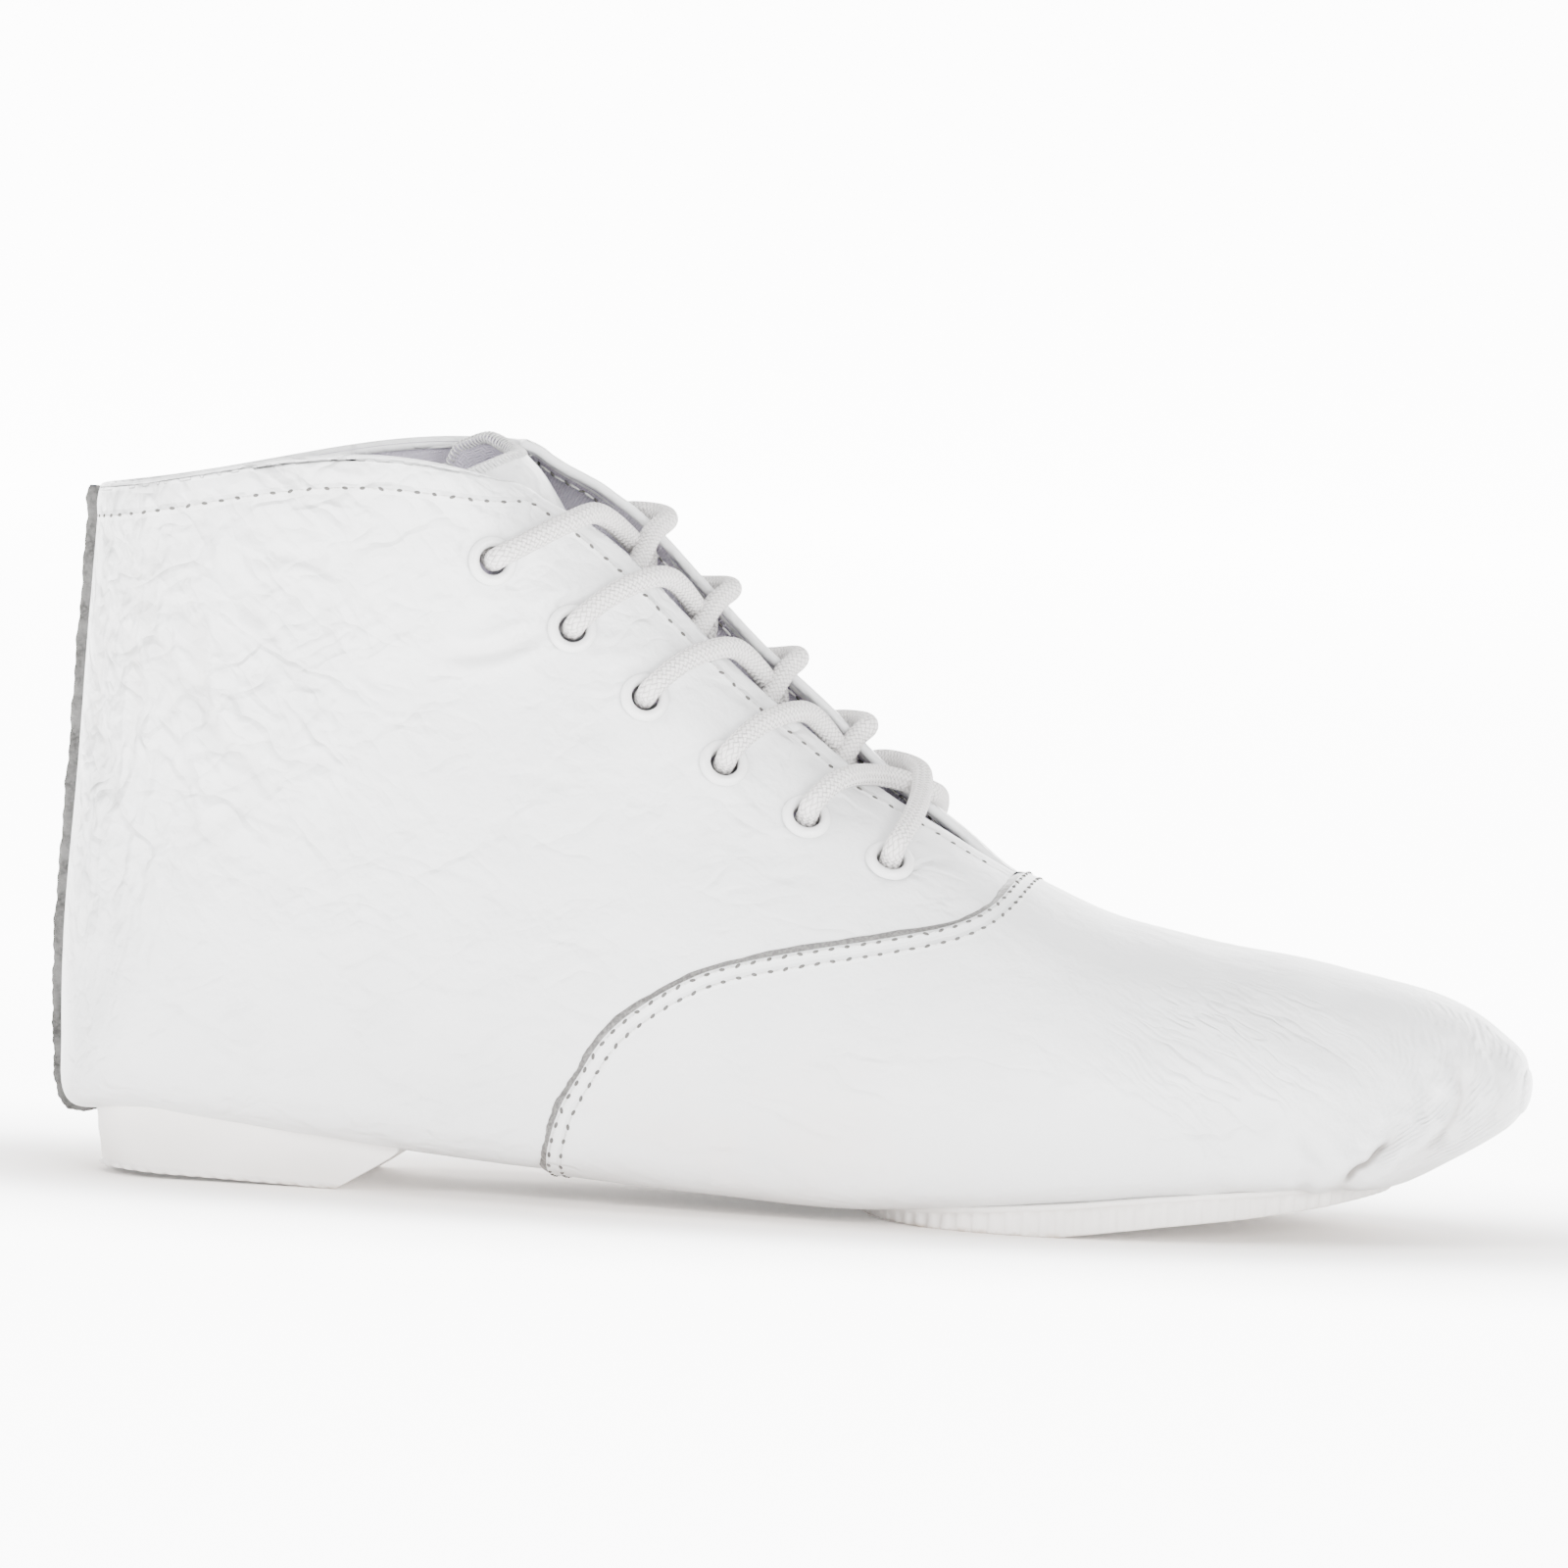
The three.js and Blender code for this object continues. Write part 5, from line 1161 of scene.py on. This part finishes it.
# The overlock: loops of thread that run zigzag over the tongue's top edge.
OVERLOCK_PITCH = 0.95
OVERLOCK_WIDTH = 1.9
OVERLOCK_RADIUS = 0.19
top_edge = side_mid[-1]
top_out = outward[-1]
top_down = side_mid[-4] - side_mid[-1]
top_down /= np.linalg.norm(top_down, axis=1, keepdims=True)
edge_length = np.concatenate([[0], np.cumsum(np.linalg.norm(np.diff(top_edge, axis=0), axis=1))])
loops = int(edge_length[-1] / OVERLOCK_PITCH)
path = []
half_wall = TONGUE_THICKNESS / 2 + 0.25
for k in range(loops * 8 + 1):
    at_way = k / 8 * OVERLOCK_PITCH
    turn = (k % 8) / 8 * 2 * math.pi
    mid, out, down = (np.array([np.interp(at_way, edge_length, v[:, a]) for a in range(3)]) for v in (top_edge, top_out, top_down))
    swing_down = (1 - math.cos(turn)) / 2
    path.append(mid + down * (OVERLOCK_WIDTH * swing_down - 0.45) + out * half_wall * (math.sin(turn) if swing_down < 0.5 else math.copysign(1, math.sin(turn))))
path = np.array(path)

# The insole
# A thin sock-lining board faced with the same canvas, laid on the inside's floor.
sock = canvas("sock_canvas", (0.78, 0.77, 0.80), (0.58, 0.57, 0.61))
board = bpy.data.objects["insole"]
for slot in board.material_slots:
    slot.material = sock

# The forefoot sole
# A moulded rubber pad, slightly warmer than the leather: ribbed round its side under a smooth lip, glued on
# under the ball of the foot. Its tread is a field of small diamonds.
SOLE_LIP = 1.0
LIP_STEP = 0.4
RIB_PITCH = 3.0
RIB_DEPTH = 0.45
SOLE_REAR = 0.555 * LENGTH
SOLE_FRONT = 0.912 * LENGTH
SOLE_SHARE = 0.925
SOLE_END_ROUND = 3.2
SOLE_ROWS = 520
# The tread's height in the side view: shares of the length and of the toe spring.
tread_line = np.array([
    [0.54, 0.02], [0.585, 0.012], [0.61, 0], [0.706, 0], [0.735, 0.06], [0.777, 0.145], [0.828, 0.237],
    [0.879, 0.345], [0.912, 0.44], [0.95, 0.6],
]) * [LENGTH, TOE_SPRING]
foot_t = np.linspace(0, COLLAR, 2001)
foot_sections = section_at(foot_t)
foot_t, foot_sections = foot_t[foot_sections[:, UNDER_X] > 0.02 * LENGTH], foot_sections[foot_sections[:, UNDER_X] > 0.02 * LENGTH]


def under_at(x, column):
    """A column of the sections' values where the foot's underside is at x."""
    return np.interp(-x, -foot_sections[:, UNDER_X], foot_sections[:, column])


def plan_side(side, shares):
    """The sole's outline in plan on one side, from its rear to its front, and its outward normal."""
    x = SOLE_REAR + (SOLE_FRONT - SOLE_REAR) * shares
    ends = np.abs(2 * shares - 1)
    half = under_at(x, LATERAL if side < 0 else MEDIAL) * SOLE_SHARE * np.clip(1 - ends**SOLE_END_ROUND, 0, 1) ** 0.5
    line = np.stack([x, under_at(x, SWING) + side * half], -1)
    run = np.gradient(line, axis=0)
    out = np.stack([-run[:, 1], run[:, 0]], -1) * side
    return line, out / np.linalg.norm(out, axis=1, keepdims=True)


fine_shares = (1 - np.cos(np.linspace(0, np.pi, 4001))) / 2
fine_line, _ = plan_side(-1, fine_shares)
fine_way = np.concatenate([[0], np.cumsum(np.linalg.norm(np.diff(fine_line, axis=0), axis=1))])
sole_shares = np.interp(np.linspace(0, fine_way[-1], SOLE_ROWS + 1), fine_way, fine_shares)
sole_columns = []
for side in (-1, 1):
    line, out = plan_side(side, sole_shares)
    out[0], out[-1] = [-1, 0], [1, 0]
    way = np.concatenate([[0], np.cumsum(np.linalg.norm(np.diff(line, axis=0), axis=1))])
    feather_z = under_at(line[:, 0], UNDER_Z)
    tread_z = np.interp(line[:, 0], tread_line[:, 0], tread_line[:, 1])
    rib = np.clip(1.6 * np.cos(way * 2 * np.pi / RIB_PITCH), -1, 1) * 0.5 - 0.5
    wear = 0.12 * np.sin(way * 0.21 + side) + 0.08 * np.sin(way * 0.77)
    lip_low = np.maximum(feather_z - SOLE_LIP / 2, tread_z + 0.4)
    columns = []
    for out_by, z, ribbed_by in (
        (-4.0, feather_z + SOLE_LIP / 2 + 0.1, 0), (LIP_STEP - 0.3, feather_z + SOLE_LIP / 2 + 0.05, 0),
        (LIP_STEP - 0.06, feather_z + SOLE_LIP / 2 - 0.1, 0), (LIP_STEP, feather_z + 0.15, 0),
        (LIP_STEP - 0.08, lip_low + 0.12, 0), (LIP_STEP - 0.28, lip_low, 0), (0, lip_low - 0.15, 0.6),
        (0, lip_low * 0.75 + tread_z * 0.25, 1), (0, lip_low * 0.5 + tread_z * 0.5, 1),
        (0, lip_low * 0.25 + tread_z * 0.75, 1), (-0.06, tread_z + 0.42, 1), (-0.25, tread_z + 0.15, 0.8),
        (-0.6, tread_z + 0.02, 0.3), (-1.4, tread_z, 0),
    ):
        off = out_by + RIB_DEPTH * rib * ribbed_by + wear * (0.3 if ribbed_by else 1)
        at = line + out * off[:, None]
        columns.append(np.column_stack([at, np.maximum(z, tread_z + (0 if out_by < -1 else 0.0))]))
    sole_columns.append(columns)
low_lateral, low_medial = sole_columns[0][-1], sole_columns[1][-1]
between_them = []
for share in np.linspace(0, 1, 15)[1:-1]:
    row = low_lateral * (1 - share) + low_medial * share
    row[:, 2] = np.interp(row[:, 0], tread_line[:, 0], tread_line[:, 1])
    between_them.append(row)
sole_net = np.array(sole_columns[0] + between_them + sole_columns[1][::-1]).transpose(1, 0, 2)
column_count = sole_net.shape[1]
underneath = np.zeros(sole_net.shape[:2])
underneath[:, len(sole_columns[0]) - 1 : column_count - len(sole_columns[0]) + 1] = 1


def rubber(name):
    """Pale gum rubber: soft gloss, fine speckle, a darker speckled tread, and dark brown near the floor that is partly
    dirt and partly painted contact shade.
    """
    gum = Finish(name)
    place = gum.place()
    broad = gum.noise(place, 40, 3)
    fine = gum.noise(place, 420, 3, 0.6)
    _, _, z = (gum.node("ShaderNodeSeparateXYZ", {}, {"Vector": place}, out=i) for i in range(3))
    base = gum.mixed(broad.rises(0.3, 0.7), (0.71, 0.685, 0.66), (0.78, 0.755, 0.735))
    # Near the floor the rubber turns dark brown: partly dirt, partly painted shade where it meets the floor.
    ground = (1 - z.rises(0.0, 0.0012)) * fine.rises(0.35, 0.65)
    base = gum.mixed(ground * 0.7, base, (0.40, 0.32, 0.25))
    under = gum.kept("under")
    tread = gum.mixed(fine.rises(0.3, 0.7) * 0.6, base, (0.66, 0.63, 0.60))
    base = gum.mixed(under, base, tread)
    diamonds = gum.cells(gum.stretched(place, (300, 300, 0), (0, 0, 0.785)), 1.0, "DISTANCE_TO_EDGE", 0.0)
    height = fine * 0.03 + broad * 0.1 + under * diamonds.rises(0.05, 0.2) * 0.35
    return gum.shown(Base_Color=base, Roughness=0.5 + 0.12 * fine, Coat_Weight=0.06, Normal=gum.bumped(height))


forefoot = made(
    "forefoot_sole_rubber", sole_net.reshape(-1, 3), net_faces(*sole_net.shape[:2], turned=True),
    kept={"under": underneath.reshape(-1)},
)
forefoot.data.materials.append(rubber("forefoot_rubber"))
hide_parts("forefoot_sole")
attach(forefoot, "root")

# The heel block
# A low wedge of the same rubber, smooth at the sides, with a finely notched edge at the floor and a hollow
# slanted breast.
HEEL_REAR = 0.033 * LENGTH
HEEL_FRONT = 0.25 * LENGTH
HEEL_WIDTH = 49
HEEL_TAPER = 1.2
HEEL_CORNER = 15
BREAST_LEAN = 11
NOTCH_PITCH = 2.9
HEEL_RAISED = 1.3
breast_top = float(under_at(HEEL_FRONT, UNDER_Z))
# The leather's underside, where a wall of rubber meets it.
under_net = net + normals * net_off[..., None]
facing_down = normals[..., 2] < -0.25
down_points = under_net[facing_down]


def leather_over(places):
    """The height of the upper's underside over places in plan."""
    gaps = (places[:, None, 0] - down_points[None, ::3, 0]) ** 2 + (places[:, None, 1] - down_points[None, ::3, 1]) ** 2
    nearest = np.argsort(gaps, axis=1)[:, :3]
    return down_points[::3, 2][nearest].mean(1)


heel_levels = np.array([0, 0.12, 0.35, 0.6, 0.85, 1.0, 1.4, 2.4, 4, 5.6, 7.2, 8.8, 10.2, 10.9, 11.4, 11.7])
heel_levels = heel_levels / heel_levels[-1]
share_b = np.linspace(0, 1, 41)
breast_curve = np.stack([
    (1 - share_b) ** 2 * (HEEL_FRONT - BREAST_LEAN) + 2 * share_b * (1 - share_b) * (HEEL_FRONT - 0.36 * BREAST_LEAN) + share_b**2 * HEEL_FRONT,
    2 * share_b * (1 - share_b) * 0.55 * breast_top + share_b**2 * breast_top,
], -1)
corner_steps, back_steps, side_steps = 60, 30, 110
loop = []
for level_index, level in enumerate(heel_levels):
    top_z = HEEL_HEIGHT + SOLE_LIP
    z = level * top_z
    half = HEEL_WIDTH / 2 - HEEL_TAPER * (1 - level)
    back_x = HEEL_REAR + HEEL_TAPER * (1 - level)
    front_x = float(np.interp(level * (breast_top + SOLE_LIP), breast_curve[:, 1], breast_curve[:, 0]))
    turn_x, turn_y = back_x + HEEL_CORNER, half - HEEL_CORNER
    x_run = front_x + (turn_x - front_x) * np.linspace(0, 1, side_steps + 1)
    quarter = np.linspace(0, np.pi / 2, corner_steps + 1)[1:]
    side_line = [np.column_stack([x_run, np.full(len(x_run), half)])]
    side_line.append(np.column_stack([turn_x - HEEL_CORNER * np.sin(quarter), turn_y + HEEL_CORNER * np.cos(quarter)]))
    back_line = np.column_stack([np.full(back_steps, back_x), turn_y * (1 - np.linspace(0, 1, back_steps + 1)[1:])])
    medial_half = np.concatenate(side_line + [back_line])
    whole = np.concatenate([medial_half, (medial_half * [1, -1])[::-1][1:]])
    run = np.gradient(whole, axis=0)
    out = np.stack([-run[:, 1], run[:, 0]], -1)
    out = -out / np.linalg.norm(out, axis=1, keepdims=True)
    way = np.concatenate([[0], np.cumsum(np.linalg.norm(np.diff(whole, axis=0), axis=1))])
    notch = np.clip(1.5 * np.cos(way * 2 * np.pi / NOTCH_PITCH), -1, 1)
    deep = 0.3 * notch * np.clip((1.0 - z) / 0.5, 0, 1)
    rim = 0.35 if 0.1 < z < 0.95 else 0.0
    soft = 0.10 * np.sin(way * 0.17) + 0.07 * np.sin(way * 0.43 + z * 0.5)
    wall = whole + out * (deep + rim + soft - (0.25 if z < 0.05 else 0))[:, None]
    raised = HEEL_RAISED * np.clip((HEEL_FRONT - BREAST_LEAN - wall[:, 0]) / (HEEL_FRONT - BREAST_LEAN - HEEL_REAR), 0, 1)
    loop.append(np.column_stack([wall, level * (leather_over(wall) + 0.2) + raised * (1 - level)]))
loop = np.array(loop)
top_ring = loop[-1].copy()
top_centre = np.column_stack([top_ring[:, 0], top_ring[:, 1] * 0.8, top_ring[:, 2]])
loop = np.concatenate([loop, top_centre[None]])
levels, around = loop.shape[:2]
heel_faces = [net_faces(levels, around)]
bottom = np.arange(around)
mirror = around - 1 - bottom
half_count = around // 2
heel_faces.append(np.array([(i, i + 1, mirror[i + 1], mirror[i]) for i in range(half_count)]))
breast_columns = 16
breast_grid = []
for level in range(levels - 1):
    first, last = loop[level, 0], loop[level, -1]
    share = np.linspace(0, 1, breast_columns + 1)[:, None]
    line = first * (1 - share) + last * share
    breast_grid.append(line)
breast_grid = np.array(breast_grid)
heel_points = np.concatenate([loop.reshape(-1, 3), breast_grid.reshape(-1, 3)])
heel_faces.append(net_faces(levels - 1, breast_columns + 1, first=loop.shape[0] * around, turned=True))
heel = made(
    "heel_block_rubber", heel_points, np.concatenate(heel_faces),
    kept={"under": (heel_points[:, 2] < 0.01).astype(float)},
)
heel.data.materials.append(rubber("heel_rubber"))
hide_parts("heel_block")
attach(heel, "root")

# The eyelets
# Six pairs of small metal eyelets, enamelled white and set through leather and lining.
EYELET_SEAT = 0.5
EYELET_SEGMENTS = 44


def lathe(name, profile, at, axis, segments):
    """A ring turned round an axis: the profile's radii and heights."""
    axis = Vector(axis).normalized()
    turn_to = Vector((0, 0, 1)).rotation_difference(axis).to_matrix()
    turn_to = np.array(turn_to)
    angles = np.arange(segments + 1) / segments * 2 * np.pi
    ring = np.array([[(r * math.cos(a), r * math.sin(a), h) for a in angles] for r, h in [*profile, profile[0]]])
    points = ring @ turn_to.T + at
    return made(name, points.reshape(-1, 3), net_faces(*points.shape[:2], turned=True))


hole, barrel, flange = EYELET_HOLE / 2, EYELET_BARREL / 2, EYELET_FLANGE / 2
eyelet_profile = [(hole + 0.35, -3.0), (hole + 0.12, -2.2), (hole + 0.05, -1.0), (hole, 0.2), (hole + 0.06, 0.7), (hole + 0.28, 1.08)]
for k in range(1, 11):
    a = math.pi * (0.5 - k / 10 * 0.5)
    eyelet_profile.append((hole + 0.75 + (flange - hole - 0.75) * math.cos(a), EYELET_SEAT - 0.35 + (EYELET_DOME + 0.3) * math.sin(a)))
eyelet_profile += [(flange - 0.15, EYELET_SEAT - 0.5), (barrel, EYELET_SEAT - 0.5), (barrel, -1.9), (barrel + 0.7, -2.2), (barrel + 0.5, -2.8), (hole + 0.6, -3.1)]
enamel = Finish("white_enamel")
chip = enamel.noise(enamel.place(), 700, 3, 0.6)
haze = enamel.noise(enamel.place(), 160, 2)
enamel.shown(
    Base_Color=enamel.mixed(haze.rises(0.3, 0.7), (0.62, 0.62, 0.62), (0.68, 0.68, 0.678)),
    Roughness=0.3 + 0.15 * haze, Coat_Weight=0.35, Coat_Roughness=0.2, Normal=enamel.bumped(chip * 0.02),
)
for k, (at, out) in enumerate(eyelet_places):
    word, number = ("lateral", k + 1) if k < 6 else ("medial", k - 5)
    ring = lathe(f"eyelet_ring_{word}_{number}", eyelet_profile, at, out, EYELET_SEGMENTS)
    ring.data.materials.append(enamel.material)
    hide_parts(f"eyelet_{word}_{number}")
    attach(ring, "root")

# The lace
# One round braided cotton cord of 3.8 millimetres. It crosses the gap five times, lies outside both facings at
# the lowest crossing, and ends inside, under the top eyelets.
LACE = 3.8
LACE_STEP = 0.55
LACE_SIDES = 18
LACE_OVER = LACE / 2 + 0.5
LACE_UNDER = -LEATHER - LACE_OVER
AT_EYELET = 3.5
LATERAL_SIDE, MEDIAL_SIDE = -1, 1


def lacing(side, pair, share, over, height):
    """A point at a share of the pitch below a pair of eyelets (pairs from 0), a way in from the facing's edge."""
    t = eyelet_t[pair] + (eyelet_t[min(pair + 1, 5)] - eyelet_t[pair]) * share
    return on_facing(side, t, over, height)


def crossing_points(side, pair):
    """A strand from an eyelet's top, over its own facing's edge, under the other facing to the next eyelet."""
    inset = EYELET_INSET
    top = [(0, inset, AT_EYELET)]
    meeting = 0.34 * lacing(-1, pair, 0.95, 0, 0)[0] + 0.66 * lacing(1, pair, 0.98, 0, 0)[0]
    outward = lacing(1, pair, 1, 0, 0)[1] * [1, 0, 1]
    outward = outward / np.linalg.norm(outward) * 0.84 * LACE
    if side < 0:
        own = [(0, inset - 0.9, 3.1), (0.08, 0.65 * inset, 3.45), (0.25, 0.3 * inset, 2.6), (0.47, 0, 2.4)]
        beyond, under_rows = -0.75, [(1.02, 0.15 * inset, -4.1), (1.06, 0.35 * inset, -4.1), (1.03, 0.7 * inset, -4.3)]
    else:
        own = [(0, inset - 0.9, 3.1), (0.3, 0.7 * inset, 3.45), (0.72, 0.3 * inset, 2.6), (0.97, 0, 2.4)]
        beyond, under_rows = 0.25, [(1.08, 0.1 * inset, -4.1), (1.06, 0.35 * inset, -4.1), (1.03, 0.7 * inset, -4.3)]
    points = [lacing(side, pair, 0, inset - 0.45, h)[0] for h in (-1.6, 0.8)]
    points += [lacing(side, pair, *row)[0] for row in own]
    points.append(meeting + outward * beyond)
    points += [lacing(-side, pair, *row)[0] for row in under_rows]
    return points


def lowest_points(side, lift):
    """The lowest strand: outside from one eyelet to the other side's last eyelet, and in."""
    inset = EYELET_INSET
    own_edge, far_edge = (0.74, 0.91) if lift > 0 else (0.5, 0.94)
    rows = [(side, 0, inset - 0.9, 3.1), (side, 0.12, 0.6 * inset, AT_EYELET), (side, own_edge, 0, LACE_OVER + 0.4 * lift),
            (-side, far_edge, 0, LACE_OVER + lift), (-side, 1.01, 0.55 * inset, AT_EYELET), (-side, 1, inset - 0.9, 3.1)]
    points = [lacing(side, 4, 0, inset - 0.45, h)[0] for h in (-1.6, 0.8)]
    points += [lacing(s, 4, share, over, height)[0] for s, share, over, height in rows]
    return points + [lacing(-side, 4, 1, inset - 0.45, h)[0] for h in (0.8, -1.6)]


def half_lace(first_side):
    """From the hidden end inside the first eyelet of one side down to the last eyelet of the other."""
    points = [lacing(first_side, 0, -0.35, 0.75 * EYELET_INSET, -4.6)[0], lacing(first_side, 0, -0.15, 0.9 * EYELET_INSET, -4.4)[0]]
    side = first_side
    for pair in range(4):
        points += crossing_points(side, pair)
        side = -side
    return points + lowest_points(side, -0.25 * LACE if side < 0 else 0.45 * LACE)


first_half = half_lace(LATERAL_SIDE)
second_half = half_lace(MEDIAL_SIDE)
bar = [lacing(side, 5, 0, over, -4.4)[0] for side, over in ((1, 0.8 * EYELET_INSET), (1, 0.3 * EYELET_INSET), (-1, 0.3 * EYELET_INSET), (-1, 0.8 * EYELET_INSET))]
lace_points = np.array(first_half + bar + second_half[::-1])


def smooth_path(points, step):
    """A centripetal curve through the points, at even steps."""
    ends = np.concatenate([[2 * points[0] - points[1]], points, [2 * points[-1] - points[-2]]])
    fine = []
    for p0, p1, p2, p3 in zip(ends, ends[1:], ends[2:], ends[3:]):
        t0 = 0.0
        t1 = t0 + np.linalg.norm(p1 - p0) ** 0.5
        t2 = t1 + np.linalg.norm(p2 - p1) ** 0.5
        t3 = t2 + np.linalg.norm(p3 - p2) ** 0.5
        t = np.linspace(t1, t2, 24, endpoint=False)[:, None]
        a1 = (t1 - t) / (t1 - t0) * p0 + (t - t0) / (t1 - t0) * p1
        a2 = (t2 - t) / (t2 - t1) * p1 + (t - t1) / (t2 - t1) * p2
        a3 = (t3 - t) / (t3 - t2) * p2 + (t - t2) / (t3 - t2) * p3
        b1 = (t2 - t) / (t2 - t0) * a1 + (t - t0) / (t2 - t0) * a2
        b2 = (t3 - t) / (t3 - t1) * a2 + (t - t1) / (t3 - t1) * a3
        fine.append((t2 - t) / (t2 - t1) * b1 + (t - t1) / (t2 - t1) * b2)
    fine = np.concatenate([*fine, points[-1:]])
    way = np.concatenate([[0], np.cumsum(np.linalg.norm(np.diff(fine, axis=0), axis=1))])
    count = max(int(way[-1] / step), 2)
    return np.stack([np.interp(np.linspace(0, way[-1], count + 1), way, fine[:, a]) for a in range(3)], -1)


def tube(name, path, radius, sides):
    """A round cord along a path, closed at both ends; its UV is the way round and the way along in mm."""
    along = np.gradient(path, axis=0)
    along /= np.linalg.norm(along, axis=1, keepdims=True)
    side = np.cross(along[0], [0.3, 0.2, 1.0])
    rings, ways = [], []
    way = np.concatenate([[0], np.cumsum(np.linalg.norm(np.diff(path, axis=0), axis=1))])
    angles = np.arange(sides + 1) / sides * 2 * np.pi
    sizes = np.full(len(path), float(radius))
    ends = [(path[0], 0.0), *[(p, s) for p, s in zip(path, sizes)], (path[-1], 0.0)]
    runs = [along[0], *along, along[-1]]
    long = [way[0], *way, way[-1]]
    for (at, size_here), run, way_here in zip(ends, runs, long):
        side = side - run * (side @ run)
        side /= np.linalg.norm(side)
        other = np.cross(run, side)
        rings.append(at + size_here * (np.cos(angles)[:, None] * side + np.sin(angles)[:, None] * other))
        ways.append(np.column_stack([angles / (2 * np.pi), np.full(sides + 1, way_here)]))
    rings = np.array(rings)
    return made(name, rings.reshape(-1, 3), net_faces(*rings.shape[:2]), uv=np.concatenate(ways))


lace = tube("lace", smooth_path(lace_points, LACE_STEP), LACE / 2, LACE_SIDES)


def braid(name, carriers, pitch, light, dark):
    """Cotton braid: two sets of strands wind round the cord both ways, over and under each other."""
    cord = Finish(name)
    way = cord.node("ShaderNodeUVMap", {"uv_map": "way"})
    u, v = (cord.node("ShaderNodeSeparateXYZ", {}, {"Vector": way}, out=i) for i in range(2))
    left = u * carriers + v / pitch
    right_hand = u * carriers - v / pitch
    over = ((left.math("FLOOR") + right_hand.math("FLOOR")) * math.pi / 2).math("COSINE").math("ABSOLUTE")
    ridge_left = (left * math.pi).math("SINE").math("ABSOLUTE")
    ridge_right = (right_hand * math.pi).math("SINE").math("ABSOLUTE")
    height = over * ridge_left + (1 - over) * ridge_right
    fuzz = cord.noise(cord.place(), 2200, 2)
    dust = cord.noise(cord.place(), 60, 2)
    # Painted shade: the grooves between the strands are coloured darker; the fuzz and dust add a random tone.
    return cord.shown(
        Base_Color=cord.mixed((height * 0.8 + fuzz * 0.2).rises(0.15, 0.7), dark, cord.mixed(dust, light, tuple(c * 0.94 for c in light))),
        Roughness=0.85 + 0.1 * fuzz,
        Normal=cord.bumped(height * 0.22 + fuzz * 0.05),
    )


lace.data.materials.append(braid("lace_braid", 10, 1.0, (0.62, 0.60, 0.59), (0.40, 0.385, 0.38)))
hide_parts("lace_crossing_1", "lace_crossing_2", "lace_crossing_3", "lace_crossing_4", "lace_crossing_5", "lace_bar")
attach(lace, "root")

overlock = tube("tongue_overlock", path, OVERLOCK_RADIUS, 6)
overlock.data.materials.append(thread.material)
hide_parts("tongue")
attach(overlock, "root")
